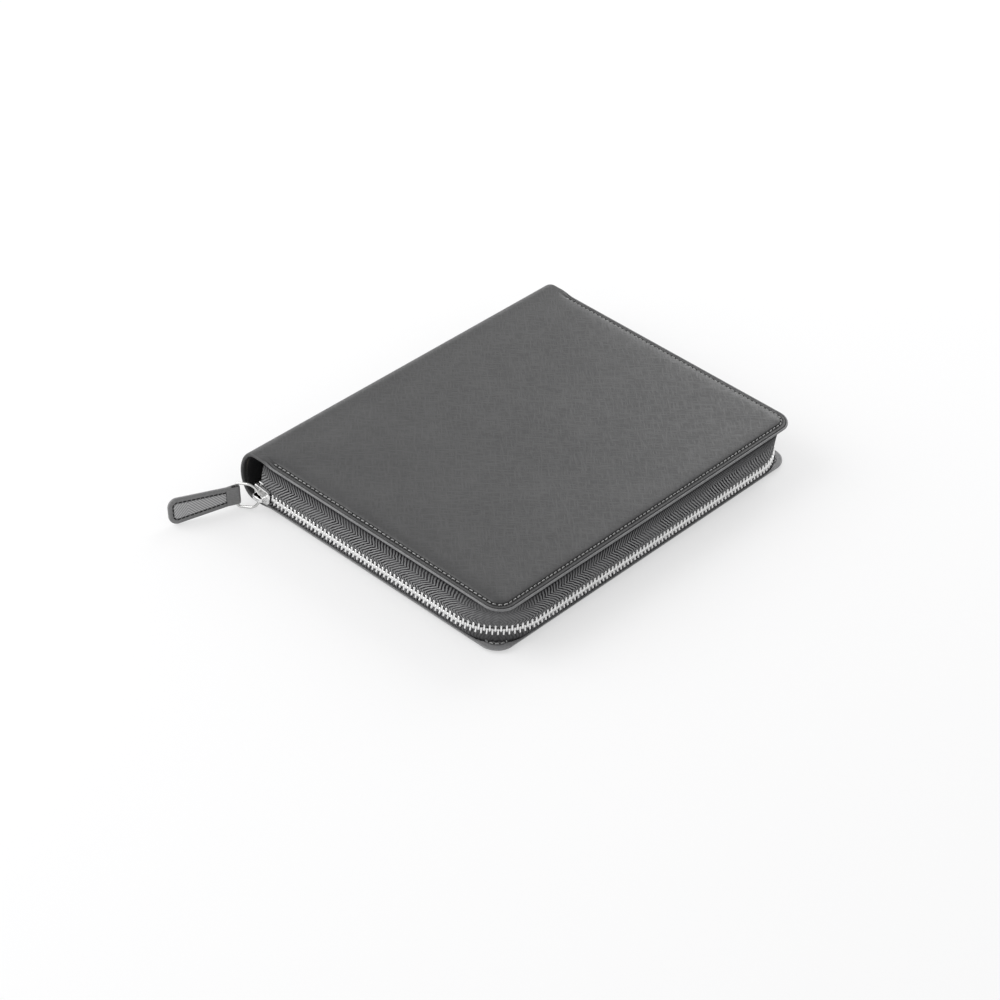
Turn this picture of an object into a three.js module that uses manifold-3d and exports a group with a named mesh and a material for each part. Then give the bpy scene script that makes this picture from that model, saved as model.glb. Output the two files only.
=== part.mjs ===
// Personal organizer: a zip-round A5 ring organizer, closed, lying on its back cover.
// Millimetres. +X runs from the spine to the fore edge, +Y from tail to head, +Z up.
// The origin is the centre of the back cover's underside.
import * as THREE from 'three';
import * as BufferGeometryUtils from 'three/addons/utils/BufferGeometryUtils.js';
import Module from 'manifold-3d';

const wasm = await Module();
wasm.setup();

// Pages and dividers
const pageWidth = 148;
const pageLength = 210;
const pageBlock = 2.0;
const dividerThickness = 0.35;
const sheetGap = 0.1;
const holeRadius = 3.0;
const holeMargin = 6;
const stackRun = 40;
const indexTabReach = 6;
const indexTabLength = 45;
const indexTabStep = 75;

// Case, outside, round the rings and the pages
const mechanismFromSpine = 22.5;
const ringBore = 15.2;
const wireDiameter = 2.6;
const holePlay = 0.4;
const foreMargin = 11.2;
const endMargin = 15;
const wireRadius = wireDiameter / 2;
const ringRadius = ringBore / 2 + wireRadius;
const holeFromSpine = mechanismFromSpine + ringRadius + holePlay;
const coverWidth = holeFromSpine - holeMargin + pageWidth + foreMargin;
const caseLength = pageLength + 2 * endMargin;
const ringHeadroom = 1.8;
const foreCornerRadius = 11;
const innerCornerRadius = 18;
const spineDepth = 8;
const spineBulge = 2.4;
const spineSteps = 20;
const hingeInset = 3;
const hingeClearance = 0.3;

// Layers of a cover, from the outside in
const leatherThickness = 1.0;
const foamThickness = 0.9;
const boardThickness = 1.5;
const liningThickness = 0.5;
const glueGap = 0.1;
const overcut = 1;
const borderStep = 0.8;
const panelRise = 0.2;
const borderWidth = 5.5;
const panelEdge = 2.0;
const liningInset = 3.2;
const spineBoardInset = 3;
const spineBoardTurn = 30;
const spineLiningInset = 1.5;
const spineLiningTurn = 38;

// Zip: the tapes are sewn in under the lips, and the chain takes the corners in a wider bow
const tapeThickness = 0.6;
const tapeSeam = 5;
const tapeEmerges = 1.4;
const tapeSteps = 7;
const chainHeight = 10.3;
const chainBulge = 0.9;
const chainCornerRadius = 30;
const toothPitch = 2.8;
const toothWidth = 1.15;
const toothDepth = 2.2;
const toothOverlap = 0.9;
const toothRoot = 1.9;
const beadHeight = 0.9;
const beadGap = 0.2;
const tapeEndFromSpine = 14;
const cornerSteps = 7;
const stopLength = 3;
const stopGap = 0.4;

// Slider, its bail, the D ring and the pull tab
const sliderFromSpine = 18;
const sliderLength = 11;
const sliderPlate = 1.1;
const sliderFlare = 0.8;
const channelClearance = 0.35;
const sliderCorner = 1.6;
const flangeWidth = 1.0;
const flangeGap = 1.3;
const wedgeLength = 3.6;
const wedgeWidth = 2.4;
const plateJoin = 0.2;
const bailLength = 7;
const bailThickness = 1.1;
const bailWidth = 2.4;
const bailGap = 0.1;
const ringPlay = 0.75;
const ringWire = 1.5;
const ringWidth = 15.5;
const ringDepth = 13;
const ringCorner = 2.2;
const ringTurn = 64.4;
const ringDroop = 7.8;
const ringLean = -6.6;
const tabFold = -45;
const tabLength = 39;
const tabNeckWidth = 11;
const tabNeckLength = 4;
const tabEndWidth = 15.2;
const tabCorner = 5;
const tabThickness = 2.2;
const tabEdge = 0.4;
const tabEyeClearance = 0.25;
const tabEyeWall = 0.9;

// Ring mechanism
const mechanismWidth = 17;
const mechanismLength = 206;
const mechanismHeight = 4.6;
const plateThickness = 0.9;
const plateShoulder = 1.6;
const plateCrown = 0.8;
const crownReach = 0.6;
const windowDepth = 2.5;
const leafThickness = 0.8;
const leafLift = 0.9;
const leafGap = 0.4;
const leafEndGap = 3;
const wireSteps = 12;
const arcPoints = 8;
const footHandle = 1.5;
const joinHandle = 1.4;
const ringFootSpread = 5.6;
const ringFootRise = 7.8;
const ringTipGap = 0.3;
const ringUnderStack = 4.2;
const footGap = 0.05;
const holePitch = 19;
const holeMiddle = 70;
const slotClearance = 1.0;
const leverWidth = 11;
const leverReach = 9;
const leverRise = 24;
const leverThickness = 1.2;
const barrelWall = 0.84;
const pinRadius = 0.8;
const pinClearance = 0.12;
const pinOut = 1.5;
const pinRise = 2;
const rivetRadius = 2.2;
const rivetHead = 0.4;
const rivetSpread = 1.3;
const rivetTaper = 0.9;
const rivetGap = 0.15;
const rivetPlace = 12;
const cheekLength = 5;
const pinEndGap = 1.1;

// Pockets and pen loop
const pocketThickness = 0.5;
const backPocketFromPages = 30;
const backPocketWidth = 120;
const backPocketLength = 150;
const cardPocketWidth = 96;
const cardPocketHeight = 62;
const cardPocketStep = 14;
const cardPocketPlace = 30;
const frontPocketFromSpine = 34.5;
const documentPocketWidth = 120;
const documentPocketLength = 84;
const documentPocketPlace = 16;
const penLoopBore = 9.4;
const penLoopWall = 0.9;
const penLoopLength = 26;
const penLoopFromEdge = 24;
const penLoopPlace = 40;

// Places that follow from the sizes above
const halfWidth = coverWidth / 2;
const halfLength = caseLength / 2;
const pivotX = -halfWidth + hingeInset;
const arcEndX = -halfWidth + spineDepth;
const spineSwing = Math.hypot(arcEndX - pivotX, hingeInset);
const coverCut = spineSwing + hingeClearance;
const layerStartX = pivotX + coverCut + hingeClearance;
const foamTop = leatherThickness + glueGap;
const boardTop = foamTop + foamThickness + glueGap;
const liningTop = boardTop + boardThickness + glueGap;
const innerFace = liningTop + liningThickness;
const mechanismBase = innerFace + glueGap;
const leafLow = mechanismBase + leafLift;
const leafTop = leafLow + leafThickness;
const ringCentreZ = leafTop + ringFootRise;
const caseHeight = ringCentreZ + ringRadius + wireRadius + ringHeadroom + innerFace;
const lipTape = borderStep + leatherThickness + glueGap;
const lipLining = lipTape + tapeThickness + glueGap;
const tapeEndX = -halfWidth + tapeEndFromSpine;
const sliderX = -halfWidth + sliderFromSpine;
const teethStartX = sliderX + sliderLength / 2;
const innerEdgeX = layerStartX + glueGap;

// Materials
function finish(color, roughness, metalness = 0) {
  return new THREE.MeshStandardMaterial({ color, roughness, metalness });
}

const leather = finish(0x3a3a3b, 0.55);
const leatherEdge = finish(0x333334, 0.6);
const foam = finish(0x9a9a96, 0.9);
const board = finish(0x8c8072, 0.9);
const lining = finish(0x252527, 0.85);
const tapeCloth = finish(0x1d1d1f, 0.9);
const zipMetal = finish(0xc9c9c8, 0.28, 1);
const nickel = finish(0xd6d6d4, 0.18, 1);
const paper = finish(0xf1eee4, 0.85);
const card = finish(0xb9bcbe, 0.8);
const elastic = finish(0x19191a, 0.9);

// Solids: a geometry with merged vertices becomes a manifold, and comes back as a geometry
function toSolid(geometry) {
  const bare = geometry.clone();
  bare.deleteAttribute('normal');
  bare.deleteAttribute('uv');
  const merged = BufferGeometryUtils.mergeVertices(bare, 1e-4);
  return new wasm.Manifold(new wasm.Mesh({
    numProp: 3,
    vertProperties: new Float32Array(merged.attributes.position.array),
    triVerts: new Uint32Array(merged.index.array),
  }));
}

function toGeometry(solid) {
  const result = solid.getMesh();
  const geometry = new THREE.BufferGeometry();
  const places = new Float32Array(result.vertProperties);
  geometry.setAttribute('position', new THREE.BufferAttribute(places, 3));
  geometry.setIndex(new THREE.BufferAttribute(new Uint32Array(result.triVerts), 1));
  geometry.computeVertexNormals();
  return geometry;
}

function named(name, geometry, material) {
  const mesh = new THREE.Mesh(geometry, material);
  mesh.name = name;
  return mesh;
}

// A box from its lowest to its highest corner
function block(low, high) {
  const geometry = new THREE.BoxGeometry(high[0] - low[0], high[1] - low[1], high[2] - low[2]);
  geometry.translate((low[0] + high[0]) / 2, (low[1] + high[1]) / 2, (low[2] + high[2]) / 2);
  return geometry;
}

// A plate of a shape drawn in X and Y, from one height to another
function plate(shape, low, high) {
  const depth = high - low;
  const geometry = new THREE.ExtrudeGeometry(shape, { depth, bevelEnabled: false, curveSegments: 6 });
  geometry.translate(0, 0, low);
  return geometry;
}

// A bar of a shape drawn in X and Z, along Y
function barAlongY(shape, low, high, curveSegments = 8) {
  const depth = high - low;
  const geometry = new THREE.ExtrudeGeometry(shape, { depth, bevelEnabled: false, curveSegments });
  geometry.rotateX(Math.PI / 2);
  geometry.translate(0, high, 0);
  return geometry;
}

// The outline of a cover's layer: straight at the hinge, round at the two fore corners
function coverOutline(inset, startX, edgeRadius) {
  const right = halfWidth - inset;
  const top = halfLength - inset;
  const radius = edgeRadius - inset;
  const shape = new THREE.Shape();
  shape.moveTo(startX, -top);
  shape.lineTo(right - radius, -top);
  shape.absarc(right - radius, -top + radius, radius, -Math.PI / 2, 0, false);
  shape.lineTo(right, top - radius);
  shape.absarc(right - radius, top - radius, radius, 0, Math.PI / 2, false);
  shape.lineTo(startX, top);
  shape.closePath();
  return shape;
}

// The room that the spine's fold sweeps round the hinge line
function hingeSweep() {
  const rod = new THREE.CylinderGeometry(coverCut, coverCut, caseLength + 2 * overcut, 32);
  rod.translate(pivotX, 0, hingeInset);
  return toSolid(rod);
}

// A cover's leather: a padded panel on a flat border, hollow for foam and board
function coverLeather() {
  const rim = plate(coverOutline(0, arcEndX, foreCornerRadius), borderStep, borderStep + leatherThickness);
  const panelShape = coverOutline(borderWidth + panelEdge, arcEndX + panelEdge, foreCornerRadius);
  const panel = new THREE.ExtrudeGeometry(panelShape, {
    depth: panelRise,
    bevelEnabled: true,
    bevelThickness: borderStep,
    bevelSize: panelEdge,
    bevelSegments: 2,
    curveSegments: 6,
  });
  panel.translate(0, 0, borderStep);
  const hinge = block([arcEndX, -halfLength, 0], [arcEndX + borderWidth, halfLength, leatherThickness]);
  const hollowShape = coverOutline(borderWidth + panelEdge, layerStartX, innerCornerRadius);
  const hollow = plate(hollowShape, leatherThickness, boardTop);
  const solid = toSolid(rim).add(toSolid(panel)).add(toSolid(hinge));
  return solid.subtract(toSolid(hollow)).subtract(hingeSweep());
}

// A cover's lining: flat inside the stitching, stepped over the board
function coverLining() {
  const flangeShape = coverOutline(liningInset, layerStartX, innerCornerRadius);
  const trayShape = coverOutline(borderWidth, layerStartX, innerCornerRadius);
  const roomShape = coverOutline(borderWidth + liningThickness, layerStartX - overcut, innerCornerRadius);
  const flange = plate(flangeShape, lipLining, lipLining + liningThickness);
  const tray = plate(trayShape, lipLining, innerFace);
  const room = plate(roomShape, 0, liningTop);
  return toSolid(flange).add(toSolid(tray)).subtract(toSolid(room));
}

function sheetInCover(low, thickness) {
  const inset = borderWidth + panelEdge + glueGap;
  return plate(coverOutline(inset, innerEdgeX, innerCornerRadius), low, low + thickness);
}

// The zip's way round the case, counted in stations: 0 to 1 along the tail edge, 1 to 2 round
// the corner, 2 to 4 along the fore edge, 4 to 5 round the corner, 5 to 6 along the head edge.
// The radius is that of the corner at the cover's edge, and the offset points outwards.
const stationCount = 6;

function zipPoint(station, outward, edgeRadius) {
  const centreX = halfWidth - edgeRadius;
  const centreY = halfLength - edgeRadius;
  const mirror = station > stationCount / 2 ? -1 : 1;
  const half = mirror > 0 ? station : stationCount - station;
  if (half <= 1) {
    return [tapeEndX + (centreX - tapeEndX) * half, -mirror * (halfLength + outward)];
  }
  if (half <= 2) {
    const angle = (half - 1) * Math.PI / 2;
    const reach = edgeRadius + outward;
    return [centreX + reach * Math.sin(angle), -mirror * (centreY + reach * Math.cos(angle))];
  }
  return [halfWidth + outward, -mirror * centreY * (stationCount / 2 - half)];
}

// Runs along the chain, in millimetres from the tail end of the tapes
const chainEdgeRadius = chainCornerRadius - chainBulge;
const tailRun = halfWidth - chainEdgeRadius - tapeEndX;
const cornerRun = chainCornerRadius * Math.PI / 2;
const foreRun = caseLength - 2 * chainEdgeRadius;
const chainRun = 2 * tailRun + 2 * cornerRun + foreRun;

function stationAt(run) {
  const half = Math.min(run, chainRun - run);
  let station = 2 + (half - tailRun - cornerRun) / (foreRun / 2);
  if (half <= tailRun) {
    station = half / tailRun;
  } else if (half <= tailRun + cornerRun) {
    station = 1 + (half - tailRun) / cornerRun;
  }
  return run > chainRun / 2 ? stationCount - station : station;
}

// The same geometry with every face turned round
function turnedRound(geometry) {
  const positions = geometry.attributes.position;
  for (let i = 0; i < positions.count; i += 3) {
    const [x, y, z] = [positions.getX(i), positions.getY(i), positions.getZ(i)];
    positions.setXYZ(i, positions.getX(i + 1), positions.getY(i + 1), positions.getZ(i + 1));
    positions.setXYZ(i + 1, x, y, z);
  }
  return geometry;
}

// The stations at which a tape is bent: the straight ends and steps round the two corners
function zipStations() {
  const steps = Array.from({ length: cornerSteps + 1 }, (_, k) => k / cornerSteps);
  return [0, ...steps.map((step) => 1 + step), ...steps.map((step) => 4 + step), stationCount];
}

// A zip tape: sewn flat under the lip, then bulging out to the chain and its wider corners.
// The bar is modelled along Z, one step for each station, with its offset in X and height in Y.
function zipTape(edgeHeight) {
  const seamTop = lipTape + tapeThickness;
  const climb = (height) => 1 - (1 - Math.max(height - seamTop, 0) / (edgeHeight - seamTop)) ** 3;
  const seamEnd = -tapeEmerges - tapeSeam;
  const shares = Array.from({ length: tapeSteps + 1 }, (_, k) => k / tapeSteps);
  const heights = shares.map((share) => seamTop + (edgeHeight - seamTop) * share);
  const middle = (height) => -tapeEmerges + (chainBulge + tapeEmerges) * climb(height);
  const outline = [
    [seamEnd, lipTape],
    [middle(seamTop) + tapeThickness / 2, lipTape],
    ...heights.slice(1).map((height) => [middle(height) + tapeThickness / 2, height]),
    ...heights.reverse().map((height) => [middle(height) - tapeThickness / 2, height]),
    [seamEnd, seamTop],
  ];
  const shape = new THREE.Shape(outline.map(([x, y]) => new THREE.Vector2(x, y)));
  const stations = zipStations();
  const steps = stations.length - 1;
  const bar = new THREE.ExtrudeGeometry(shape, { depth: steps, steps, bevelEnabled: false });
  const positions = bar.attributes.position;
  for (let i = 0; i < positions.count; i += 1) {
    const height = positions.getY(i);
    const radius = innerCornerRadius + (chainEdgeRadius - innerCornerRadius) * climb(height);
    const [x, y] = zipPoint(stations[Math.round(positions.getZ(i))], positions.getX(i), radius);
    positions.setXYZ(i, x, y, height);
  }
  return toSolid(turnedRound(bar));
}

// A row of teeth on its bead, as one comb. Side 1 is the upper row and -1 the lower row.
function teethRow(side, firstTooth) {
  const start = teethStartX - tapeEndX + stopGap + firstTooth;
  const end = chainRun - stopLength - stopGap;
  const count = Math.floor((end - start) / toothPitch);
  const tip = chainHeight - side * toothOverlap;
  const root = chainHeight + side * toothRoot;
  const back = chainHeight + side * (toothRoot + beadHeight);
  const half = toothDepth / 2;
  const positions = [];
  const corner = ([run, height], outward) => {
    const [x, y] = zipPoint(stationAt(run), chainBulge + outward, chainEdgeRadius);
    return [x, y, height];
  };
  const triangle = (a, b, c) => positions.push(...a, ...(side > 0 ? b : c), ...(side > 0 ? c : b));
  // A flat face, given anticlockwise as seen from outside the case, and its twin on the inner side
  const face = (...outline) => {
    for (let k = 1; k + 1 < outline.length; k += 1) {
      triangle(...[0, k, k + 1].map((i) => corner(outline[i], half)));
      triangle(...[0, k + 1, k].map((i) => corner(outline[i], -half)));
    }
  };
  const wall = (from, to) => {
    triangle(corner(to, half), corner(from, half), corner(from, -half));
    triangle(corner(to, half), corner(from, -half), corner(to, -half));
  };
  for (let k = 0; k < count; k += 1) {
    const left = start + k * toothPitch;
    const right = left + toothWidth;
    const next = left + toothPitch;
    face([left, root], [left, tip], [right, tip], [right, root]);
    face([left, back], [left, root], [right, root], [next, root], [next, back]);
    wall([left, root], [left, tip]);
    wall([left, tip], [right, tip]);
    wall([right, tip], [right, root]);
    wall([right, root], [next, root]);
    wall([next, back], [left, back]);
  }
  wall([start, back], [start, root]);
  wall([start + count * toothPitch, root], [start + count * toothPitch, back]);
  const geometry = new THREE.BufferGeometry();
  geometry.setAttribute('position', new THREE.BufferAttribute(new Float32Array(positions), 3));
  return BufferGeometryUtils.mergeVertices(geometry, 1e-4);
}

// A layer of the spine: a shell between two half ellipses, bulging past the covers. The layer
// lies at a depth under the outer face and turns so many degrees either way from the middle.
function spineLayer(depth, thickness, endInset, halfTurn) {
  const middle = caseHeight / 2;
  const reach = spineDepth + spineBulge - depth;
  const rise = middle - depth;
  const from = Math.PI - THREE.MathUtils.degToRad(halfTurn);
  const to = Math.PI + THREE.MathUtils.degToRad(halfTurn);
  const shape = new THREE.Shape();
  shape.absellipse(arcEndX, middle, reach, rise, from, to, false, 0);
  shape.absellipse(arcEndX, middle, reach - thickness, rise - thickness, to, from, true, 0);
  shape.closePath();
  return barAlongY(shape, -halfLength + endInset, halfLength - endInset, spineSteps);
}

// Slider, drawn in run along the chain, height and offset outwards, all from the chain's centre
const channelHalf = toothDepth / 2 + channelClearance;
const noseHalf = toothRoot + beadHeight + channelClearance + flangeWidth;
const mouthHalf = noseHalf + sliderFlare;
const sliderHalf = sliderLength / 2;
const sliderFace = channelHalf + sliderPlate;

function sliderShape(inset, overrun, corner) {
  const end = sliderHalf + overrun;
  const mouth = mouthHalf - inset;
  const nose = noseHalf - inset;
  const shape = new THREE.Shape();
  shape.moveTo(-end, -mouth);
  shape.lineTo(end - corner, -nose);
  shape.lineTo(end, -nose + corner);
  shape.lineTo(end, nose - corner);
  shape.lineTo(end - corner, nose);
  shape.lineTo(-end, mouth);
  shape.closePath();
  return shape;
}

function sliderBody() {
  const wedge = new THREE.Shape();
  wedge.moveTo(-sliderHalf, -wedgeWidth / 2);
  wedge.lineTo(-sliderHalf + wedgeLength, 0);
  wedge.lineTo(-sliderHalf, wedgeWidth / 2);
  wedge.closePath();
  const slot = block(
    [-sliderHalf - overcut, -mouthHalf - overcut, -flangeGap / 2],
    [sliderHalf + overcut, mouthHalf + overcut, flangeGap / 2],
  );
  return toSolid(plate(sliderShape(0, 0, sliderCorner), -sliderFace, sliderFace))
    .subtract(toSolid(plate(sliderShape(flangeWidth, overcut, glueGap), -channelHalf, channelHalf)))
    .subtract(toSolid(slot))
    .add(toSolid(plate(wedge, -channelHalf - plateJoin, channelHalf + plateJoin)));
}

function sliderBail() {
  const rise = ringWire + 2 * ringPlay;
  const half = bailLength / 2;
  const foot = half - bailThickness;
  const shape = new THREE.Shape();
  shape.moveTo(-half, 0);
  shape.lineTo(-foot, 0);
  shape.lineTo(-foot, rise);
  shape.lineTo(foot, rise);
  shape.lineTo(foot, 0);
  shape.lineTo(half, 0);
  shape.lineTo(half, rise);
  shape.lineTo(half - bailThickness, rise + bailThickness);
  shape.lineTo(-half + bailThickness, rise + bailThickness);
  shape.lineTo(-half, rise);
  shape.closePath();
  return plate(shape, -bailWidth / 2, bailWidth / 2);
}

// D ring, drawn with the wire in the bail at its origin and its straight bar at ringDepth
function dShape(inset) {
  const half = ringWidth / 2 - inset;
  const corner = ringCorner - inset;
  const bar = ringDepth + ringWire / 2 - inset;
  const bow = ringDepth / 2;
  const shape = new THREE.Shape();
  shape.moveTo(bow, -half);
  shape.lineTo(bar - corner, -half);
  shape.absarc(bar - corner, -half + corner, corner, -Math.PI / 2, 0, false);
  shape.lineTo(bar, half - corner);
  shape.absarc(bar - corner, half - corner, corner, 0, Math.PI / 2, false);
  shape.lineTo(bow, half);
  shape.absellipse(bow, 0, bow + ringWire / 2 - inset, half, Math.PI / 2, Math.PI * 1.5, false, 0);
  return shape;
}

function pullRing() {
  const outer = plate(dShape(0), -ringWire / 2, ringWire / 2);
  const inner = plate(dShape(ringWire), -ringWire, ringWire);
  return toSolid(outer).subtract(toSolid(inner));
}

// Pull tab: a leather strap with an eye round the ring's bar at its origin, wider at its free end
function pullTab() {
  const neck = tabNeckWidth / 2;
  const end = tabEndWidth / 2;
  const shape = new THREE.Shape();
  shape.moveTo(0, -neck);
  shape.lineTo(tabNeckLength, -neck);
  shape.lineTo(tabLength - tabCorner, -end);
  shape.quadraticCurveTo(tabLength, -end, tabLength, -end + tabCorner);
  shape.lineTo(tabLength, end - tabCorner);
  shape.quadraticCurveTo(tabLength, end, tabLength - tabCorner, end);
  shape.lineTo(tabNeckLength, neck);
  shape.lineTo(0, neck);
  shape.closePath();
  const strap = new THREE.ExtrudeGeometry(shape, {
    depth: tabThickness - 2 * tabEdge,
    bevelEnabled: true,
    bevelThickness: tabEdge,
    bevelSize: tabEdge,
    bevelOffset: -tabEdge,
    bevelSegments: 1,
    curveSegments: 5,
  });
  strap.translate(0, 0, -tabThickness / 2 + tabEdge);
  const boreRadius = ringWire * Math.SQRT1_2 + tabEyeClearance;
  const eyeRadius = boreRadius + tabEyeWall;
  const eye = new THREE.CylinderGeometry(eyeRadius, eyeRadius, tabNeckWidth, 16);
  const bore = new THREE.CylinderGeometry(boreRadius, boreRadius, tabNeckWidth + 2 * overcut, 16);
  return toGeometry(toSolid(strap).add(toSolid(eye)).subtract(toSolid(bore)));
}

// Ring mechanism
const mechanismX = -halfWidth + mechanismFromSpine;
const mechanismInner = mechanismWidth / 2 - plateThickness;
const mechanismHalf = mechanismLength / 2;
const leafHalf = mechanismHalf - leafEndGap;
const pinPlaceY = mechanismHalf + pinOut;
const pinPlaceZ = mechanismBase + pinRise;
const rivetReach = 2 * caseHeight;
const ringPlaces = [-1, 1].flatMap((side) => [0, 1, 2].map((k) => side * (holeMiddle / 2 + k * holePitch)));

function archShape(inset) {
  const half = mechanismWidth / 2 - inset;
  const shoulder = mechanismBase + plateShoulder;
  const top = mechanismBase + mechanismHeight - inset;
  const shape = new THREE.Shape();
  shape.moveTo(-half, mechanismBase - inset);
  shape.lineTo(half, mechanismBase - inset);
  shape.lineTo(half, shoulder);
  shape.bezierCurveTo(half, top - plateCrown, half * crownReach, top, 0, top);
  shape.bezierCurveTo(-half * crownReach, top, -half, top - plateCrown, -half, shoulder);
  shape.closePath();
  return shape;
}

function ringCoverPlate() {
  const end = mechanismHalf + cheekLength;
  let solid = toSolid(barAlongY(archShape(0), -end, end, 5));
  solid = solid.subtract(toSolid(barAlongY(archShape(plateThickness), -end - overcut, end + overcut, 5)));
  const plateTop = mechanismBase + mechanismHeight + overcut;
  const notchHalf = wireRadius + slotClearance;
  const notchInner = ringFootSpread - wireRadius - slotClearance;
  const notchOuter = mechanismWidth / 2 + overcut;
  ringPlaces.forEach((y) => [-1, 1].forEach((side) => {
    const from = Math.min(side * notchInner, side * notchOuter);
    const to = Math.max(side * notchInner, side * notchOuter);
    const notch = block([from, y - notchHalf, leafTop], [to, y + notchHalf, plateTop]);
    solid = solid.subtract(toSolid(notch));
  }));
  const half = leverWidth / 2 + slotClearance / 2;
  const windowStart = mechanismHalf - windowDepth;
  [-1, 1].forEach((side) => {
    const low = Math.min(side * windowStart, side * (end + overcut));
    const high = Math.max(side * windowStart, side * (end + overcut));
    const window = block([-half, low, mechanismBase - overcut], [half, high, plateTop]);
    solid = solid.subtract(toSolid(window));
  });
  [-1, 1].forEach((side) => {
    const hole = new THREE.CylinderGeometry(rivetRadius + rivetGap, rivetRadius + rivetGap, rivetReach, 16);
    hole.rotateX(Math.PI / 2);
    hole.translate(0, side * rivetPlace, mechanismBase);
    solid = solid.subtract(toSolid(hole));
  });
  return toGeometry(solid).translate(mechanismX, 0, 0);
}

// Side -1 is the left leaf and 1 the right leaf; the leaf turns about its outer edge
function ringLeaf(side) {
  const outerEdge = side * (mechanismInner - leafGap / 2);
  const innerEdge = side * leafGap / 2;
  const low = Math.min(outerEdge, innerEdge);
  const high = Math.max(outerEdge, innerEdge);
  let solid = toSolid(block([low, -leafHalf, leafLow], [high, leafHalf, leafTop]));
  [-1, 1].forEach((end) => {
    const hole = new THREE.CylinderGeometry(
      rivetRadius + slotClearance, rivetRadius + slotClearance, rivetReach, 16);
    hole.rotateX(Math.PI / 2);
    hole.translate(0, end * rivetPlace, leafTop);
    solid = solid.subtract(toSolid(hole));
  });
  return toGeometry(solid).translate(mechanismX, 0, 0);
}

function halfRing(side, y) {
  const bendAngle = -Math.PI / 6;
  const join = new THREE.Vector3(
    side * ringRadius * Math.cos(bendAngle), 0, ringCentreZ + ringRadius * Math.sin(bendAngle));
  const along = new THREE.Vector3(side * Math.sin(-bendAngle), 0, Math.cos(bendAngle));
  const foot = new THREE.Vector3(side * ringFootSpread, 0, leafTop + footGap);
  const path = new THREE.CurvePath();
  path.add(new THREE.CubicBezierCurve3(
    foot,
    foot.clone().add(new THREE.Vector3(0, 0, footHandle)),
    join.clone().addScaledVector(along, -joinHandle),
    join,
  ));
  const tipAngle = Math.acos(ringTipGap / 2 / ringRadius);
  const arc = new THREE.CatmullRomCurve3(Array.from({ length: arcPoints + 1 }, (_, k) => {
    const angle = bendAngle + (tipAngle - bendAngle) * k / arcPoints;
    return new THREE.Vector3(
      side * ringRadius * Math.cos(angle), 0, ringCentreZ + ringRadius * Math.sin(angle));
  }));
  path.add(arc);
  const section = new THREE.Shape();
  section.absarc(0, 0, wireRadius, 0, Math.PI * 2, false);
  const settings = { extrudePath: path, steps: wireSteps, curveSegments: 4 };
  const geometry = new THREE.ExtrudeGeometry(section, settings);
  geometry.translate(mechanismX, y, 0);
  return geometry;
}

// End lever: side -1 at the tail and 1 at the head, its thumb plate rising outwards
function endLever(side) {
  const half = leverWidth / 2;
  const thumb = block([-half, 0, -leverThickness / 2], [half, leverReach, leverThickness / 2]);
  thumb.rotateX(THREE.MathUtils.degToRad(leverRise));
  const boreRadius = pinRadius + pinClearance;
  const barrelRadius = boreRadius + barrelWall;
  const barrel = new THREE.CylinderGeometry(barrelRadius, barrelRadius, leverWidth, 16);
  barrel.rotateZ(Math.PI / 2);
  const bore = new THREE.CylinderGeometry(boreRadius, boreRadius, leverWidth + 2 * overcut, 16);
  bore.rotateZ(Math.PI / 2);
  const geometry = toGeometry(toSolid(thumb).add(toSolid(barrel)).subtract(toSolid(bore)));
  if (side < 0) {
    geometry.rotateZ(Math.PI);
  }
  return geometry.translate(mechanismX, side * pinPlaceY, pinPlaceZ);
}

function leverPin(side) {
  const length = 2 * (mechanismInner - pinEndGap);
  const pin = new THREE.CylinderGeometry(pinRadius, pinRadius, length, 16);
  pin.rotateZ(Math.PI / 2);
  return pin.translate(mechanismX, side * pinPlaceY, pinPlaceZ);
}

function rivet(side) {
  const top = mechanismBase + mechanismHeight + glueGap;
  const low = innerFace + glueGap;
  const profile = [
    [0, low],
    [rivetRadius, low],
    [rivetRadius, top],
    [rivetRadius + rivetSpread, top],
    [rivetRadius + rivetSpread - rivetTaper, top + rivetHead],
    [0, top + rivetHead],
  ].map(([x, y]) => new THREE.Vector2(x, y));
  const geometry = new THREE.LatheGeometry(profile, 16);
  geometry.rotateX(Math.PI / 2);
  return geometry.translate(mechanismX, side * rivetPlace, 0);
}

// Pages: flat on the back pocket, rising over the mechanism to the rings
const pocketLow = innerFace + glueGap;
const stackLow = pocketLow + pocketThickness + sheetGap;
const holeX = -halfWidth + holeFromSpine;
const pageLeft = holeX - holeMargin;
const pageRight = pageLeft + pageWidth;
const stackRise = ringCentreZ - ringUnderStack - stackLow;

function stackSheet(offset, thickness, tabPlace) {
  const runStart = holeX + holeMargin;
  const steps = 8;
  const line = [[pageLeft, stackRise]];
  for (let k = 0; k <= steps; k += 1) {
    const t = k / steps;
    line.push([runStart + stackRun * t, stackRise * (1 - t * t * (3 - 2 * t))]);
  }
  line.push([pageRight, 0]);
  const low = stackLow + offset;
  const points = [
    ...line.map(([x, rise]) => new THREE.Vector2(x, low + rise)),
    ...line.reverse().map(([x, rise]) => new THREE.Vector2(x, low + rise + thickness)),
  ];
  const half = pageLength / 2;
  let solid = toSolid(barAlongY(new THREE.Shape(points), -half, half));
  ringPlaces.forEach((y) => {
    const hole = new THREE.CylinderGeometry(holeRadius, holeRadius, rivetReach, 12);
    hole.rotateX(Math.PI / 2);
    hole.translate(holeX, y, 0);
    solid = solid.subtract(toSolid(hole));
  });
  if (tabPlace !== undefined) {
    const tab = block(
      [pageRight - overcut, tabPlace - indexTabLength / 2, low],
      [pageRight + indexTabReach, tabPlace + indexTabLength / 2, low + thickness],
    );
    solid = solid.add(toSolid(tab));
  }
  return toGeometry(solid);
}

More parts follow.
